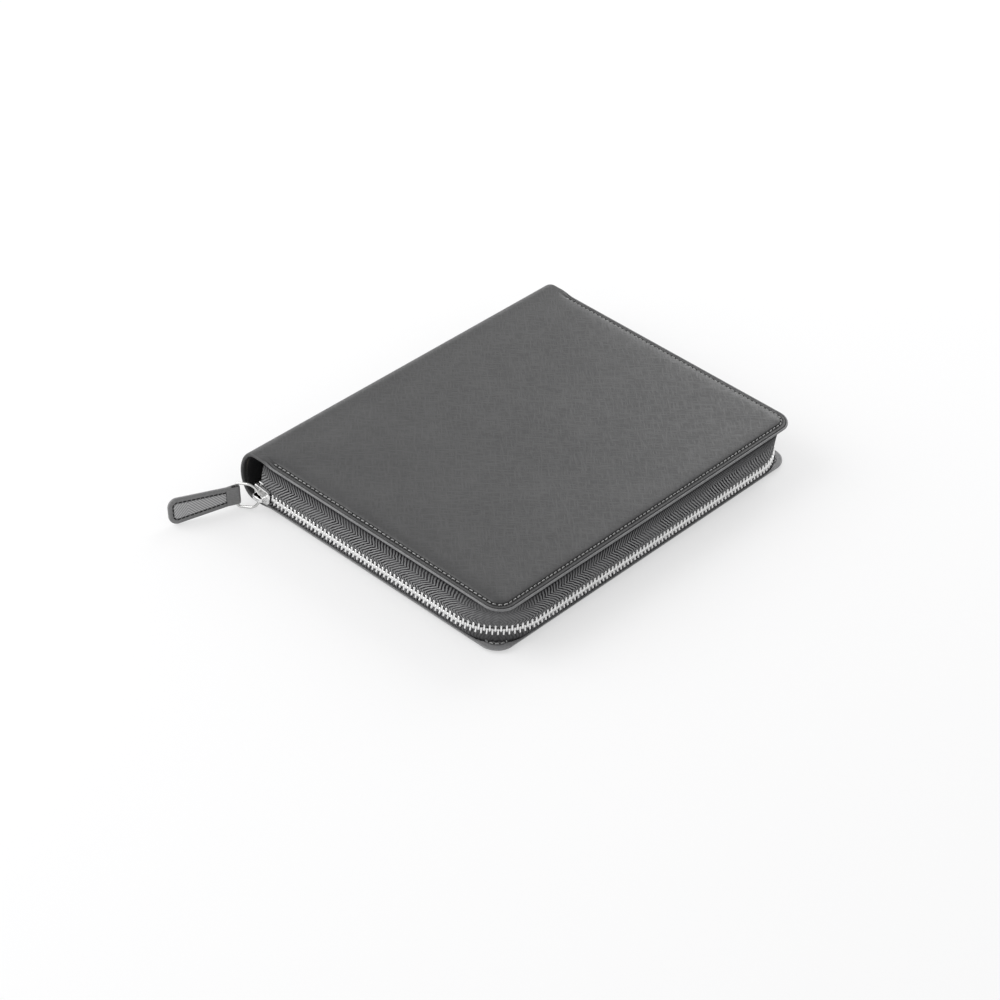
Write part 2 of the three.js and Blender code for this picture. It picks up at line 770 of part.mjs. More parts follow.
// Pen loop: a flattened elastic ring under the front lining
function penLoop() {
  const radius = penLoopBore / 2;
  const shape = new THREE.Shape();
  shape.absarc(0, 0, radius + penLoopWall, 0, Math.PI * 2, false);
  const bore = new THREE.Path();
  bore.absarc(0, 0, radius, 0, Math.PI * 2, true);
  shape.holes.push(bore);
  const half = penLoopLength / 2;
  const geometry = barAlongY(shape, penLoopPlace - half, penLoopPlace + half);
  const low = innerFace + glueGap + radius + penLoopWall;
  return geometry.translate(halfWidth - penLoopFromEdge, 0, low);
}

// The case, root body: back cover, lower half of the zip, ring mechanism
const organizer = new THREE.Group();

const liningGeometry = toGeometry(coverLining());
const leatherGeometry = toGeometry(coverLeather());
organizer.add(named('back_cover_leather', leatherGeometry, leather));
organizer.add(named('back_foam', sheetInCover(foamTop, foamThickness), foam));
organizer.add(named('back_board', sheetInCover(boardTop, boardThickness), board));
organizer.add(named('back_lining', liningGeometry, lining));
const backPocketLeft = pageLeft + backPocketFromPages;
organizer.add(named('back_pocket', block(
  [backPocketLeft, -backPocketLength / 2, pocketLow],
  [backPocketLeft + backPocketWidth, backPocketLength / 2, pocketLow + pocketThickness],
), lining));

const chainHalf = toothRoot + beadHeight + beadGap;
organizer.add(named('lower_zip_tape', toGeometry(zipTape(chainHeight - chainHalf)), tapeCloth));
organizer.add(named('lower_zip_teeth', teethRow(-1, toothPitch / 2), zipMetal));
const stopAt = tapeEndX + stopLength / 2 + beadGap;
organizer.add(named('zip_end_stop', block(
  [stopAt - stopLength / 2, halfLength + chainBulge - toothDepth / 2, chainHeight - chainHalf + beadGap],
  [stopAt + stopLength / 2, halfLength + chainBulge + toothDepth / 2, chainHeight + chainHalf - beadGap],
), zipMetal));

organizer.add(named('ring_cover_plate', ringCoverPlate(), nickel));
[['tail', -1], ['head', 1]].forEach(([end, side]) => {
  organizer.add(named(`rivet_${end}`, rivet(side), nickel));
  organizer.add(named(`lever_pin_${end}`, leverPin(side), nickel));
  organizer.add(named(`lever_${end}`, endLever(side), nickel));
});
[['left', -1], ['right', 1]].forEach(([hand, side]) => {
  organizer.add(named(`${hand}_leaf`, ringLeaf(side), nickel));
  ringPlaces.forEach((y, k) => organizer.add(named(`${hand}_half_ring_${k + 1}`, halfRing(side, y), nickel)));
});

// Pages and dividers on the rings
const stack = [
  ['divider_1', dividerThickness, indexTabStep],
  ['page_block_lower', pageBlock, undefined],
  ['divider_2', dividerThickness, 0],
  ['page_block_upper', pageBlock, undefined],
  ['divider_3', dividerThickness, -indexTabStep],
];
let stackOffset = 0;
stack.forEach(([name, thickness, tabPlace]) => {
  const material = tabPlace === undefined ? paper : card;
  organizer.add(named(name, stackSheet(stackOffset, thickness, tabPlace), material));
  stackOffset += thickness + sheetGap;
});

// Spine
organizer.add(named('spine_leather', spineLayer(0, leatherThickness, 0, 90), leather));
const spineBoardDepth = leatherThickness + glueGap;
const spineLiningDepth = spineBoardDepth + boardThickness + glueGap;
organizer.add(named('spine_board', spineLayer(
  spineBoardDepth, boardThickness, spineBoardInset, spineBoardTurn), board));
organizer.add(named('spine_lining', spineLayer(
  spineLiningDepth, liningThickness, spineLiningInset, spineLiningTurn), lining));

// Front cover: the same layers as the back cover, turned over on top of it
const front = new THREE.Group();
front.rotation.x = Math.PI;
front.position.z = caseHeight;
front.add(named('front_cover_leather', leatherGeometry.clone(), leather));
front.add(named('front_foam', sheetInCover(foamTop, foamThickness), foam));
front.add(named('front_board', sheetInCover(boardTop, boardThickness), board));
front.add(named('front_lining', liningGeometry.clone(), lining));
const upperEdge = caseHeight - chainHeight - chainHalf;
front.add(named('upper_zip_tape', toGeometry(zipTape(upperEdge)), tapeCloth));
const pocketLeft = -halfWidth + frontPocketFromSpine;
[0, 1, 2].forEach((k) => {
  const low = pocketLow + k * (pocketThickness + glueGap);
  const top = cardPocketPlace + cardPocketHeight - k * cardPocketStep;
  front.add(named(`card_pocket_${k + 1}`, block(
    [pocketLeft, cardPocketPlace, low],
    [pocketLeft + cardPocketWidth, top, low + pocketThickness],
  ), leatherEdge));
});
front.add(named('document_pocket', block(
  [pocketLeft, -documentPocketPlace - documentPocketLength, pocketLow],
  [pocketLeft + documentPocketWidth, -documentPocketPlace, pocketLow + pocketThickness],
), leatherEdge));
front.add(named('pen_loop', penLoop(), elastic));
organizer.add(front);
organizer.add(named('upper_zip_teeth', teethRow(1, 0), zipMetal));

// Slider on the chain, its plates upright, one outside and one inside the tapes
const slider = new THREE.Group();
slider.rotation.x = Math.PI / 2;
slider.position.set(sliderX, -(halfLength + chainBulge), chainHeight);
slider.add(named('slider_body', toGeometry(sliderBody()), zipMetal));
const bail = named('slider_bail', sliderBail(), zipMetal);
bail.rotation.x = Math.PI / 2;
bail.position.z = sliderFace + bailGap;
slider.add(bail);
organizer.add(slider);

// D ring and tab: the ring leaves the bail turned to the spine, drooping and leaning, and the
// tab folds back from its bar
const turn = THREE.MathUtils.degToRad(ringTurn);
const droop = THREE.MathUtils.degToRad(ringDroop);
const lean = THREE.MathUtils.degToRad(ringLean);
const reachAxis = new THREE.Vector3(
  -Math.sin(turn) * Math.cos(droop), -Math.cos(turn) * Math.cos(droop), -Math.sin(droop));
const sideAxis = new THREE.Vector3(Math.cos(turn), -Math.sin(turn), 0);
const riseAxis = new THREE.Vector3().crossVectors(sideAxis, reachAxis);
const barAxis = riseAxis.multiplyScalar(Math.cos(lean)).addScaledVector(sideAxis, -Math.sin(lean));
const faceAxis = new THREE.Vector3().crossVectors(reachAxis, barAxis);
const pull = new THREE.Group();
pull.setRotationFromMatrix(new THREE.Matrix4().makeBasis(reachAxis, barAxis, faceAxis));
const ringOut = halfLength + chainBulge + sliderFace + bailGap + ringPlay + ringWire / 2;
pull.position.set(sliderX, -ringOut, chainHeight);
pull.add(named('pull_ring', toGeometry(pullRing()), nickel));
const tab = named('pull_tab', pullTab(), leather);
tab.position.x = ringDepth;
tab.rotation.y = THREE.MathUtils.degToRad(tabFold);
pull.add(tab);
organizer.add(pull);

export default organizer;
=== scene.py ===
import math
import bmesh
import bpy
import numpy as np
from mathutils import Matrix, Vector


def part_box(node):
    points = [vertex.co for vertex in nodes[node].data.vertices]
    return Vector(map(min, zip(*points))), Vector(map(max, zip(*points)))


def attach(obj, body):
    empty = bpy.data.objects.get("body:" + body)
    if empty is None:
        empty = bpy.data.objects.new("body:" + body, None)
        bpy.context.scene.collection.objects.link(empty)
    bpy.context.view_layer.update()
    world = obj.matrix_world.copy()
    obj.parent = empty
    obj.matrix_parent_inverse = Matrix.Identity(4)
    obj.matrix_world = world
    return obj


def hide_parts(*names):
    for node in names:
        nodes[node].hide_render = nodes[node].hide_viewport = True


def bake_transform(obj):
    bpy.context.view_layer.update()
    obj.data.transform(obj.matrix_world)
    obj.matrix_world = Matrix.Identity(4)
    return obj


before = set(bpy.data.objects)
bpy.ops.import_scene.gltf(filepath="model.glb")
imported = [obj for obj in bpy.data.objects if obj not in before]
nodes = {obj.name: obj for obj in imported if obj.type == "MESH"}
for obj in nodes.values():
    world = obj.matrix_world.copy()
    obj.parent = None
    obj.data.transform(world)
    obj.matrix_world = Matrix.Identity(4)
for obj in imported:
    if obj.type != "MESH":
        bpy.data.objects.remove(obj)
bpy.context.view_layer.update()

scene = bpy.context.scene
mm = 0.001
fullTurn = 2 * math.pi

# Sizes of the case in millimetres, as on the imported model
case = dict(
    halfWidth=92.5, halfLength=120.0, height=30.0, foreCorner=11.0, innerCorner=18.0, spineReach=10.4,
    spineHalf=15.0, foldX=-84.5, liningX=-83.07, chainHeight=10.3, chainBulge=0.9, chainCorner=30.0,
    tapeEndX=-78.5, sliderX=-74.5,
)


def smooth(t):  # 0 below 0, 1 above 1, t*t*(3-2t) between
    t = np.clip(t, 0, 1)
    return t * t * (3 - 2 * t)


def unit(rows):  # each row over its own length
    return rows / np.linalg.norm(rows, axis=1)[:, None]


def squared(wave, power):  # a sine or cosine with its sign kept, squarer with a power below 1
    return np.sign(wave) * np.abs(wave) ** power


def joined(*rows):  # coordinates side by side, along a new last axis
    return np.stack(rows, axis=-1)


def runAlong(path):  # the length of a path as far as each of its points
    return np.concatenate([[0], np.cumsum(np.linalg.norm(np.diff(path, axis=0), axis=1))])


def pointsAt(path, at):  # the points of a flat path at some lengths along it
    run = runAlong(path)
    return joined(np.interp(at, run, path[:, 0]), np.interp(at, run, path[:, 1]))


def squareTo(path):  # the tangent of a flat path turned by a quarter
    tangent = unit(np.gradient(path, axis=0))
    return joined(tangent[:, 1], -tangent[:, 0])


def loopOf(out, back):  # out along one row, back along the other, and the first point again
    return np.concatenate([out, back[::-1], out[:1]])


def lifted(points, z=0.0):  # flat points at a height
    return np.column_stack([points, np.full(len(points), z)])


def arc(x, y, wide, high, turns):  # x + wide * cos, y + high * sin
    return joined(x + wide * np.cos(turns), y + high * np.sin(turns))


def gridFaces(rows, columns):
    first = (np.arange(rows - 1)[:, None] * columns + np.arange(columns - 1)).ravel()
    return joined(first, first + 1, first + columns + 1, first + columns)


def addObject(name, data):
    item = bpy.data.objects.new(name, data)
    scene.collection.objects.link(item)
    return item


def finishMesh(name, mesh, material, sharp):
    mesh.materials.clear()
    mesh.materials.append(material)
    mesh.shade_smooth()
    mesh.set_sharp_from_angle(angle=math.radians(sharp))
    return addObject(name, mesh)


def faceCorners(mesh):  # the vertex at each corner of each face
    corner = np.empty(len(mesh.loops), np.int32)
    mesh.loops.foreach_get("vertex_index", corner)
    return corner


def layUv(mesh, values):  # one pair of values for each corner
    layer = mesh.uv_layers.new(name="UVMap")
    layer.data.foreach_set("uv", values.astype(np.float32).ravel())


def makePiece(name, points, faces, material, uv=None, sharp=40, merge=0.002):
    # points in mm; doubles are merged, open ends closed and every face turned outwards
    mesh = bpy.data.meshes.new(name)
    mesh.from_pydata((np.asarray(points).reshape(-1, 3) * mm).tolist(), [], np.asarray(faces).tolist())
    if uv is not None:
        layUv(mesh, uv.reshape(-1, 2)[faceCorners(mesh)])
    shell = bmesh.new()
    shell.from_mesh(mesh)
    bmesh.ops.remove_doubles(shell, verts=shell.verts, dist=merge * mm)
    rim = [e for e in shell.edges if e.is_boundary]
    if rim:
        bmesh.ops.holes_fill(shell, edges=rim, sides=0)
    bmesh.ops.recalc_face_normals(shell, faces=shell.faces)
    if shell.calc_volume(signed=True) < 0:
        bmesh.ops.reverse_faces(shell, faces=shell.faces)
    shell.to_mesh(mesh)
    shell.free()
    return finishMesh(name, mesh, material, sharp)


def makeSheet(name, grid, material, **more):  # a piece from rows of points
    return makePiece(name, grid, gridFaces(*grid.shape[:2]), material, **more)


def refined(name, node, material, bevel=0.0):
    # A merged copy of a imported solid, with its edges rounded over
    mesh = nodes[node].data.copy()
    mesh.name = name
    shell = bmesh.new()
    shell.from_mesh(mesh)
    bmesh.ops.remove_doubles(shell, verts=shell.verts, dist=0.001 * mm)
    bmesh.ops.dissolve_limit(shell, angle_limit=math.radians(1), verts=shell.verts, edges=shell.edges)
    shell.to_mesh(mesh)
    shell.free()
    piece = finishMesh(name, mesh, material, 35)
    if bevel:
        rounding = piece.modifiers.new("rounding", "BEVEL")
        rounding.width, rounding.segments, rounding.harden_normals = bevel * mm, 2, True
        rounding.limit_method, rounding.angle_limit = "ANGLE", math.radians(50)
    return piece


def settle(piece, body, slot, *replaced):
    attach(piece, body)
    if replaced:
        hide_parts(*replaced)
    return piece


def repeated(template, faces, origins, frames):
    # Copies of one shape: origin + frame @ vertex, with a frame's columns as the shape's axes
    points = np.einsum("nij,kj->nki", frames, template) + origins[:, None, :]
    shifted = faces[None] + (np.arange(len(origins)) * len(template))[:, None, None]
    return points.reshape(-1, 3), shifted.reshape(-1, 4)


def spindle(stations, sides, power=1.0, start=0.0):
    # A bar along its first axis: at each station (along, half width, half height, lift) an ellipse
    # (along, halfWidth * cos v, halfHeight * sin v + lift), squarer with a power below 1; stations of
    # no size close the ends
    v = start + np.linspace(0, fullTurn, sides + 1)
    along, wide, high, lift = np.asarray(stations, float).T[:, :, None]
    sideways, upwards = squared(np.cos(v), power), squared(np.sin(v), power)
    points = joined(along + 0 * v, wide * sideways, high * upwards + lift)
    return points.reshape(-1, 3), gridFaces(len(stations), sides + 1)


def sweptTube(path, radius, sides=16, closed=False):
    # A round wire: path point + radius * (cos v * flat + sin v * up), both axes square to the path
    tangent = unit(np.roll(path, -1, 0) - np.roll(path, 1, 0) if closed else np.gradient(path, axis=0))
    flat = np.linalg.svd(path - path.mean(0))[2][2]  # the path lies in one plane, square to this
    up = unit(np.cross(tangent, flat))
    v = np.linspace(0, fullTurn, sides + 1)[None, :, None]
    grid = path[:, None] + radius * (np.cos(v) * flat[None, None] + np.sin(v) * up[:, None])
    return np.concatenate([grid, grid[:1]]) if closed else grid


def strip(path, square, y, offset):
    # Leather or cloth along a path of (x, z) points: the point + square * offset, at each y
    x = path[:, :1] + square[:, :1] * offset
    z = path[:, 1:] + square[:, 1:] * offset
    return joined(x, y + 0 * x, z)


def throughPoints(points, count):
    # A smooth line through points: cubic interpolation of each coordinate over the run between them
    points = np.asarray(points, float)
    run = runAlong(points)
    slope = np.gradient(points, run, axis=0)
    s = np.linspace(0, run[-1], count)
    k = np.clip(np.searchsorted(run, s, side="right") - 1, 0, len(run) - 2)
    h = (run[k + 1] - run[k])[:, None]
    t = ((s - run[k]) / h[:, 0])[:, None]
    return ((1 + 2 * t) * (1 - t) ** 2 * points[k] + t * (1 - t) ** 2 * h * slope[k]
            + t * t * (3 - 2 * t) * points[k + 1] + t * t * (t - 1) * h * slope[k + 1])


def addNode(tree, kind, inputs=None, **settings):
    node = tree.nodes.new(kind)
    for key, value in settings.items():
        setattr(node, key, value)
    for key, value in (inputs or {}).items():
        if isinstance(value, bpy.types.NodeSocket):
            tree.links.new(value, node.inputs[key])
        else:
            node.inputs[key].default_value = value
    return node


def connect(tree, node, sockets):
    for key, value in sockets.items():
        tree.links.new(value, node.inputs[key])


def maths(tree, operation, *values):
    return addNode(tree, "ShaderNodeMath", dict(enumerate(values)), operation=operation).outputs[0]


def stretch(tree, value, low, high, toLow=0.0, toHigh=1.0):
    sockets = {0: value, 1: low, 2: high, 3: toLow, 4: toHigh}
    return addNode(tree, "ShaderNodeMapRange", sockets).outputs[0]


def times(tree, first, second):
    return maths(tree, "MULTIPLY", first, second)


def between(tree, share, start, end):
    return stretch(tree, share, 0.0, 1.0, start, end)


def addNoise(tree, point, scale, detail=2.0, roughness=0.5):
    sockets = {"Vector": point, "Scale": scale, "Detail": detail, "Roughness": roughness}
    return addNode(tree, "ShaderNodeTexNoise", sockets).outputs["Fac"]


def objectPoint(tree):
    return addNode(tree, "ShaderNodeTexCoord").outputs["Object"]


def uvPoint(tree):
    return addNode(tree, "ShaderNodeUVMap", uv_map="UVMap").outputs[0]


def parts(tree, vector):
    return addNode(tree, "ShaderNodeSeparateXYZ", {0: vector}).outputs


def addBump(tree, shader, height, strength, distance):
    bump = addNode(tree, "ShaderNodeBump", {"Height": height, "Strength": strength, "Distance": distance * mm})
    connect(tree, shader, {"Normal": bump.outputs["Normal"]})


def blendColors(tree, factor, low, high):
    return addNode(tree, "ShaderNodeMix", {"Factor": factor, 6: (*low, 1), 7: (*high, 1)},
                   data_type="RGBA").outputs[2]


def multiplied(tree, color, factor):
    grey = addNode(tree, "ShaderNodeCombineColor", {0: factor, 1: factor, 2: factor}).outputs[0]
    return addNode(tree, "ShaderNodeMix", {"Factor": 1.0, 6: color, 7: grey}, data_type="RGBA",
                   blend_type="MULTIPLY").outputs[2]


def newGroup(name, values, results):
    # A group with a Vector and the named numbers going in, and the named results coming out
    group = bpy.data.node_groups.new(name, "ShaderNodeTree")
    group.interface.new_socket("Vector", in_out="INPUT", socket_type="NodeSocketVector")
    for label, value in values.items():
        socket = group.interface.new_socket(label, in_out="INPUT", socket_type="NodeSocketFloat")
        socket.default_value = value
    for label in results:
        group.interface.new_socket(label, in_out="OUTPUT", socket_type="NodeSocketFloat")
    return group, group.nodes.new("NodeGroupInput").outputs, group.nodes.new("NodeGroupOutput")


def newMaterial(name, sockets):
    material = bpy.data.materials.new(name)
    material.use_nodes = True
    shader = material.node_tree.nodes["Principled BSDF"]
    for key, value in sockets.items():
        shader.inputs[key].default_value = value
    return material, material.node_tree, shader


def crossGrain():
    # Fine pressed strokes in two crossing directions over a pebbled base. Strokes are noise stretched
    # sixfold along one diagonal of the cover, and then along the other.
    tree, given, result = newGroup("crossGrain", {"Fineness": 1000.0}, ("Height", "Strokes", "Mottle"))
    strokes = []
    for turn in (45, -45):
        turned = addNode(tree, "ShaderNodeMapping", {
            "Vector": given["Vector"], "Rotation": (0, 0, math.radians(turn)), "Scale": (6, 1, 1),
        }, vector_type="TEXTURE").outputs[0]
        strokes.append(stretch(tree, addNoise(tree, turned, given["Fineness"], 2.0, 0.55), 0.42, 0.68))
    crossed = maths(tree, "MAXIMUM", *strokes)
    pebble = addNode(tree, "ShaderNodeTexVoronoi", {
        "Vector": given["Vector"], "Scale": times(tree, given["Fineness"], 1.3),
    }, feature="SMOOTH_F1").outputs["Distance"]
    rise = maths(tree, "MULTIPLY_ADD", crossed, 0.7, times(tree, pebble, 0.45))
    mottle = addNoise(tree, given["Vector"], times(tree, given["Fineness"], 0.045), 4.0)
    connect(tree, result, {"Height": rise, "Strokes": crossed, "Mottle": mottle})
    return tree


def herringbone():
    # Stripes along run + zigzag(across), the zigzag turning at every column of the tape. The vector
    # holds run and across in metres.
    tree, given, result = newGroup("herringbone", {"Stripe": 0.0018, "Column": 0.0075},
                                   ("Height", "Stripes", "Column edge"))
    run, across = parts(tree, given["Vector"])[:2]
    wandering = maths(tree, "MULTIPLY_ADD", addNoise(tree, given["Vector"], 420.0), 0.0014, across)
    zigzag = maths(tree, "PINGPONG", wandering, given["Column"])
    phase = maths(tree, "DIVIDE", maths(tree, "ADD", run, zigzag), given["Stripe"])
    stripes = stretch(tree, maths(tree, "SINE", times(tree, phase, fullTurn)), -0.6, 0.75)
    fuzz = stretch(tree, addNoise(tree, given["Vector"], 2600.0), 0.3, 0.7)
    connect(tree, result, {
        "Height": maths(tree, "MULTIPLY_ADD", fuzz, 0.25, stripes),
        "Stripes": times(tree, stripes, between(tree, fuzz, 0.65, 1.0)),
        "Column edge": maths(tree, "PINGPONG", maths(tree, "DIVIDE", zigzag, given["Column"]), 0.5),
    })
    return tree


def handling():
    # Fine drawn scratches for a metal's gloss, and broad faint dents for its tone and height
    tree, given, result = newGroup("handling", {"Fineness": 1500.0}, ("Gloss", "Height", "Tone"))
    drawn = addNode(tree, "ShaderNodeMapping", {
        "Vector": given["Vector"], "Scale": (1, 0.1, 1), "Rotation": (0.3, 0.5, 0.4),
    }).outputs[0]
    broad = addNoise(tree, given["Vector"], times(tree, given["Fineness"], 0.12))
    connect(tree, result, {
        "Gloss": stretch(tree, addNoise(tree, drawn, given["Fineness"], 3.0), 0.35, 0.7),
        "Height": broad, "Tone": broad,
    })
    return tree


print("scene: materials")
grainGroup, weaveGroup, scratchGroup = crossGrain(), herringbone(), handling()

# The darkest and the palest colour of each finish
finishes = dict(
    cover=((0.035, 0.035, 0.036), (0.073, 0.073, 0.074)),
    inner=((0.024, 0.024, 0.025), (0.042, 0.042, 0.043)),
    tab=((0.13, 0.13, 0.131), (0.25, 0.25, 0.251)),
    panel=((0.24, 0.24, 0.243), (0.50, 0.50, 0.504)),
    tape=((0.010, 0.010, 0.011), (0.34, 0.34, 0.345)),
    lining=((0.010, 0.010, 0.011), (0.028, 0.028, 0.030)),
    # painted light: the lining under the borders is paler than the lining cloth elsewhere, lifting the shade behind the
    # lip
    border=((0.10, 0.10, 0.102), (0.20, 0.20, 0.203)),
    elastic=((0.010, 0.010, 0.011), (0.05, 0.05, 0.052)),
    thread=((0.05, 0.05, 0.05), (0.54, 0.54, 0.54)),
    hole=((0.004, 0.004, 0.004), (0.012, 0.012, 0.012)),
    metal=((0.94, 0.94, 0.935), (0.98, 0.98, 0.975)),
    nickel=((0.66, 0.66, 0.65), (0.78, 0.78, 0.77)),
    card=((0.42, 0.43, 0.44), (0.50, 0.51, 0.52)),
    board=((0.20, 0.16, 0.12), (0.30, 0.25, 0.19)),
    foam=((0.30, 0.30, 0.29), (0.42, 0.42, 0.40)),
    page=((0.80, 0.78, 0.72), (0.87, 0.86, 0.81)),
)


def makeLeather(name, finish, roughness, fineness=1000.0, bumpStrength=0.35, bumpDepth=0.12, paintedLightGain=None):
    material, tree, shader = newMaterial(name, {"Roughness": roughness})
    grain = addNode(tree, "ShaderNodeGroup", node_tree=grainGroup,
                    inputs={"Vector": objectPoint(tree), "Fineness": fineness}).outputs
    tone = maths(tree, "MULTIPLY_ADD", grain["Strokes"], 0.36, times(tree, grain["Mottle"], 0.6))
    color = blendColors(tree, tone, *finishes[finish])
    if paintedLightGain:  # the UV map holds painted light along the edge and painted shade in the creases
        paintedEdgeLight, paintedCreaseShade = parts(tree, uvPoint(tree))[:2]
        color = multiplied(tree, color, between(tree, paintedEdgeLight, 1.0, paintedLightGain))
        color = multiplied(tree, color, between(tree, paintedCreaseShade, 1.0, 0.08))
        connect(tree, shader, {"Specular IOR Level": between(tree, paintedCreaseShade, 0.5, 0.05)})
    gloss = between(tree, grain["Strokes"], roughness + 0.07, roughness - 0.07)
    connect(tree, shader, {"Base Color": color, "Roughness": gloss})
    addBump(tree, shader, grain["Height"], bumpStrength, bumpDepth)
    return material


def makeWeave(name, finish, stripe, column, seamShadeTone=1.0, cornerFade=0.0):
    material, tree, shader = newMaterial(name, {"Roughness": 0.8})
    uv = uvPoint(tree)
    weave = addNode(tree, "ShaderNodeGroup", {"Vector": uv, "Stripe": stripe, "Column": column},
                    node_tree=weaveGroup).outputs
    across = maths(tree, "ABSOLUTE", parts(tree, uv)[1])
    paintedSeamShade = stretch(tree, across, 1.4 * mm, 3.0 * mm, seamShadeTone, 1.0)  # painted shade where it comes out of the seam, under the lip
    # painted shade: the tape is darker towards the seam over a wider band
    wearAndPaintedLight = stretch(tree, across, 2.4 * mm, 9.0 * mm, 0.4, 1.0)
    # round the case's corners the weave closes up to an even grey, and elsewhere it shows unevenly
    x, y = parts(tree, objectPoint(tree))[:2]
    endwise = stretch(tree, maths(tree, "ABSOLUTE", y), 0.088, 0.108)
    corner = times(tree, stretch(tree, x, 0.058, 0.080), endwise)
    patchy = stretch(tree, addNoise(tree, objectPoint(tree), 90.0), 0.4, 0.75, 0.0, 0.6)
    closed = maths(tree, "MAXIMUM", times(tree, corner, cornerFade), patchy)
    even = maths(tree, "MULTIPLY_ADD", weave["Column edge"], 0.1, 0.36)
    stripes = addNode(tree, "ShaderNodeMix", {0: closed, 2: weave["Stripes"], 3: even}).outputs[0]
    tone = times(tree, stripes, times(tree, paintedSeamShade, wearAndPaintedLight))
    connect(tree, shader, {"Base Color": blendColors(tree, tone, *finishes[finish]),
                           "Specular IOR Level": between(tree, tone, 0.02, 0.3)})
    addBump(tree, shader, weave["Height"], 0.6, 0.15)
    return material


def makeMetal(name, finish, roughness):
    material, tree, shader = newMaterial(name, {"Roughness": roughness, "Metallic": 1.0})
    wearAndPaintedLight = addNode(tree, "ShaderNodeGroup", {"Vector": objectPoint(tree)}, node_tree=scratchGroup).outputs
    gloss = between(tree, wearAndPaintedLight["Gloss"], roughness - 0.05, roughness + 0.12)
    connect(tree, shader, {"Base Color": blendColors(tree, wearAndPaintedLight["Tone"], *finishes[finish]), "Roughness": gloss})
    addBump(tree, shader, wearAndPaintedLight["Height"], 0.1, 0.05)
    return material


def makeFibre(name, finish, roughness, fineness, bumpDepth=0.05):
    # Paper, card, board and foam: fibres as fine noise over a broad mottle
    material, tree, shader = newMaterial(name, {"Roughness": roughness})
    fine = addNoise(tree, objectPoint(tree), fineness, 4.0)
    broad = addNoise(tree, objectPoint(tree), fineness * 0.03)
    tone = maths(tree, "MULTIPLY_ADD", fine, 0.5, times(tree, broad, 0.5))
    connect(tree, shader, {"Base Color": blendColors(tree, stretch(tree, tone, 0.3, 0.7), *finishes[finish])})
    addBump(tree, shader, fine, 0.3, bumpDepth)
    return material, tree, shader


coverLeather = makeLeather("coverLeather", "cover", 0.46, paintedLightGain=4.6)
innerLeather = makeLeather("innerLeather", "inner", 0.55, 1300.0)
tabLeather = makeLeather("tabLeather", "tab", 0.4, 1500.0)
tapeCloth = makeWeave("tapeCloth", "tape", 0.0020, 0.0072, seamShadeTone=0.1, cornerFade=0.85)
liningCloth = makeLeather("liningCloth", "lining", 0.75, 2200.0, 0.3, 0.08)
# painted light: a paler copy of the lining cloth for the linings under the borders, lifting the shade behind the lip
paintedLightLining = makeLeather("paintedLightLining", "border", 0.7, 1300.0, 0.3, 0.08)
zipMetal = makeMetal("zipMetal", "metal", 0.34)
nickel = makeMetal("nickel", "nickel", 0.16)
elasticCloth = makeWeave("elasticCloth", "elastic", 0.0012, 0.0009)
cardStock = makeFibre("cardStock", "card", 0.7, 900.0)[0]
boardStock = makeFibre("boardStock", "board", 0.9, 500.0, 0.1)[0]
foamStock = makeFibre("foamStock", "foam", 0.95, 1200.0, 0.2)[0]
# Painted shade: the needle's holes between the stitches are near-black marks, standing in for the shade in their small
# hollows
holeShade = makeFibre("holeShade", "hole", 0.9, 2000.0)[0]

# Thread: its twisted strands are seen as fine noise in tone and height
threadMaterial, tree, shader = newMaterial("thread", {"Roughness": 0.24})
strands = addNoise(tree, objectPoint(tree), 3000.0)
strandTone = stretch(tree, strands, 0.35, 0.65)
connect(tree, shader, {"Base Color": blendColors(tree, strandTone, *finishes["thread"])})
addBump(tree, shader, strands, 0.4, 0.08)

# Page edges: each leaf is a line along the height within the block, which the UV map holds
leafPitch = 0.1 * mm
pageStock, tree, shader = makeFibre("pageStock", "page", 0.8, 700.0)
onSide, leafHeight = parts(tree, uvPoint(tree))[:2]
leafWave = maths(tree, "SINE", times(tree, leafHeight, fullTurn / leafPitch))
addBump(tree, shader, times(tree, leafWave, onSide), 0.5, 0.05)

# The covers: the padding's crown begins at an inset and rises over a run; the painted light along the upper cover's
# edge is weaker than along the lower one's, and within a narrower inset
cover = dict(crown=0.62, crownStart=4.8, crownRun=6, fill=0.9, upperPaintedLightTo=1.1, lowerPaintedLightTo=3.4, paintedLightFade=0.25,
             upperPaintedLightShare=0.68, lowerLevel=2.6, stitchedFrom=-79, stitchedRun=9)

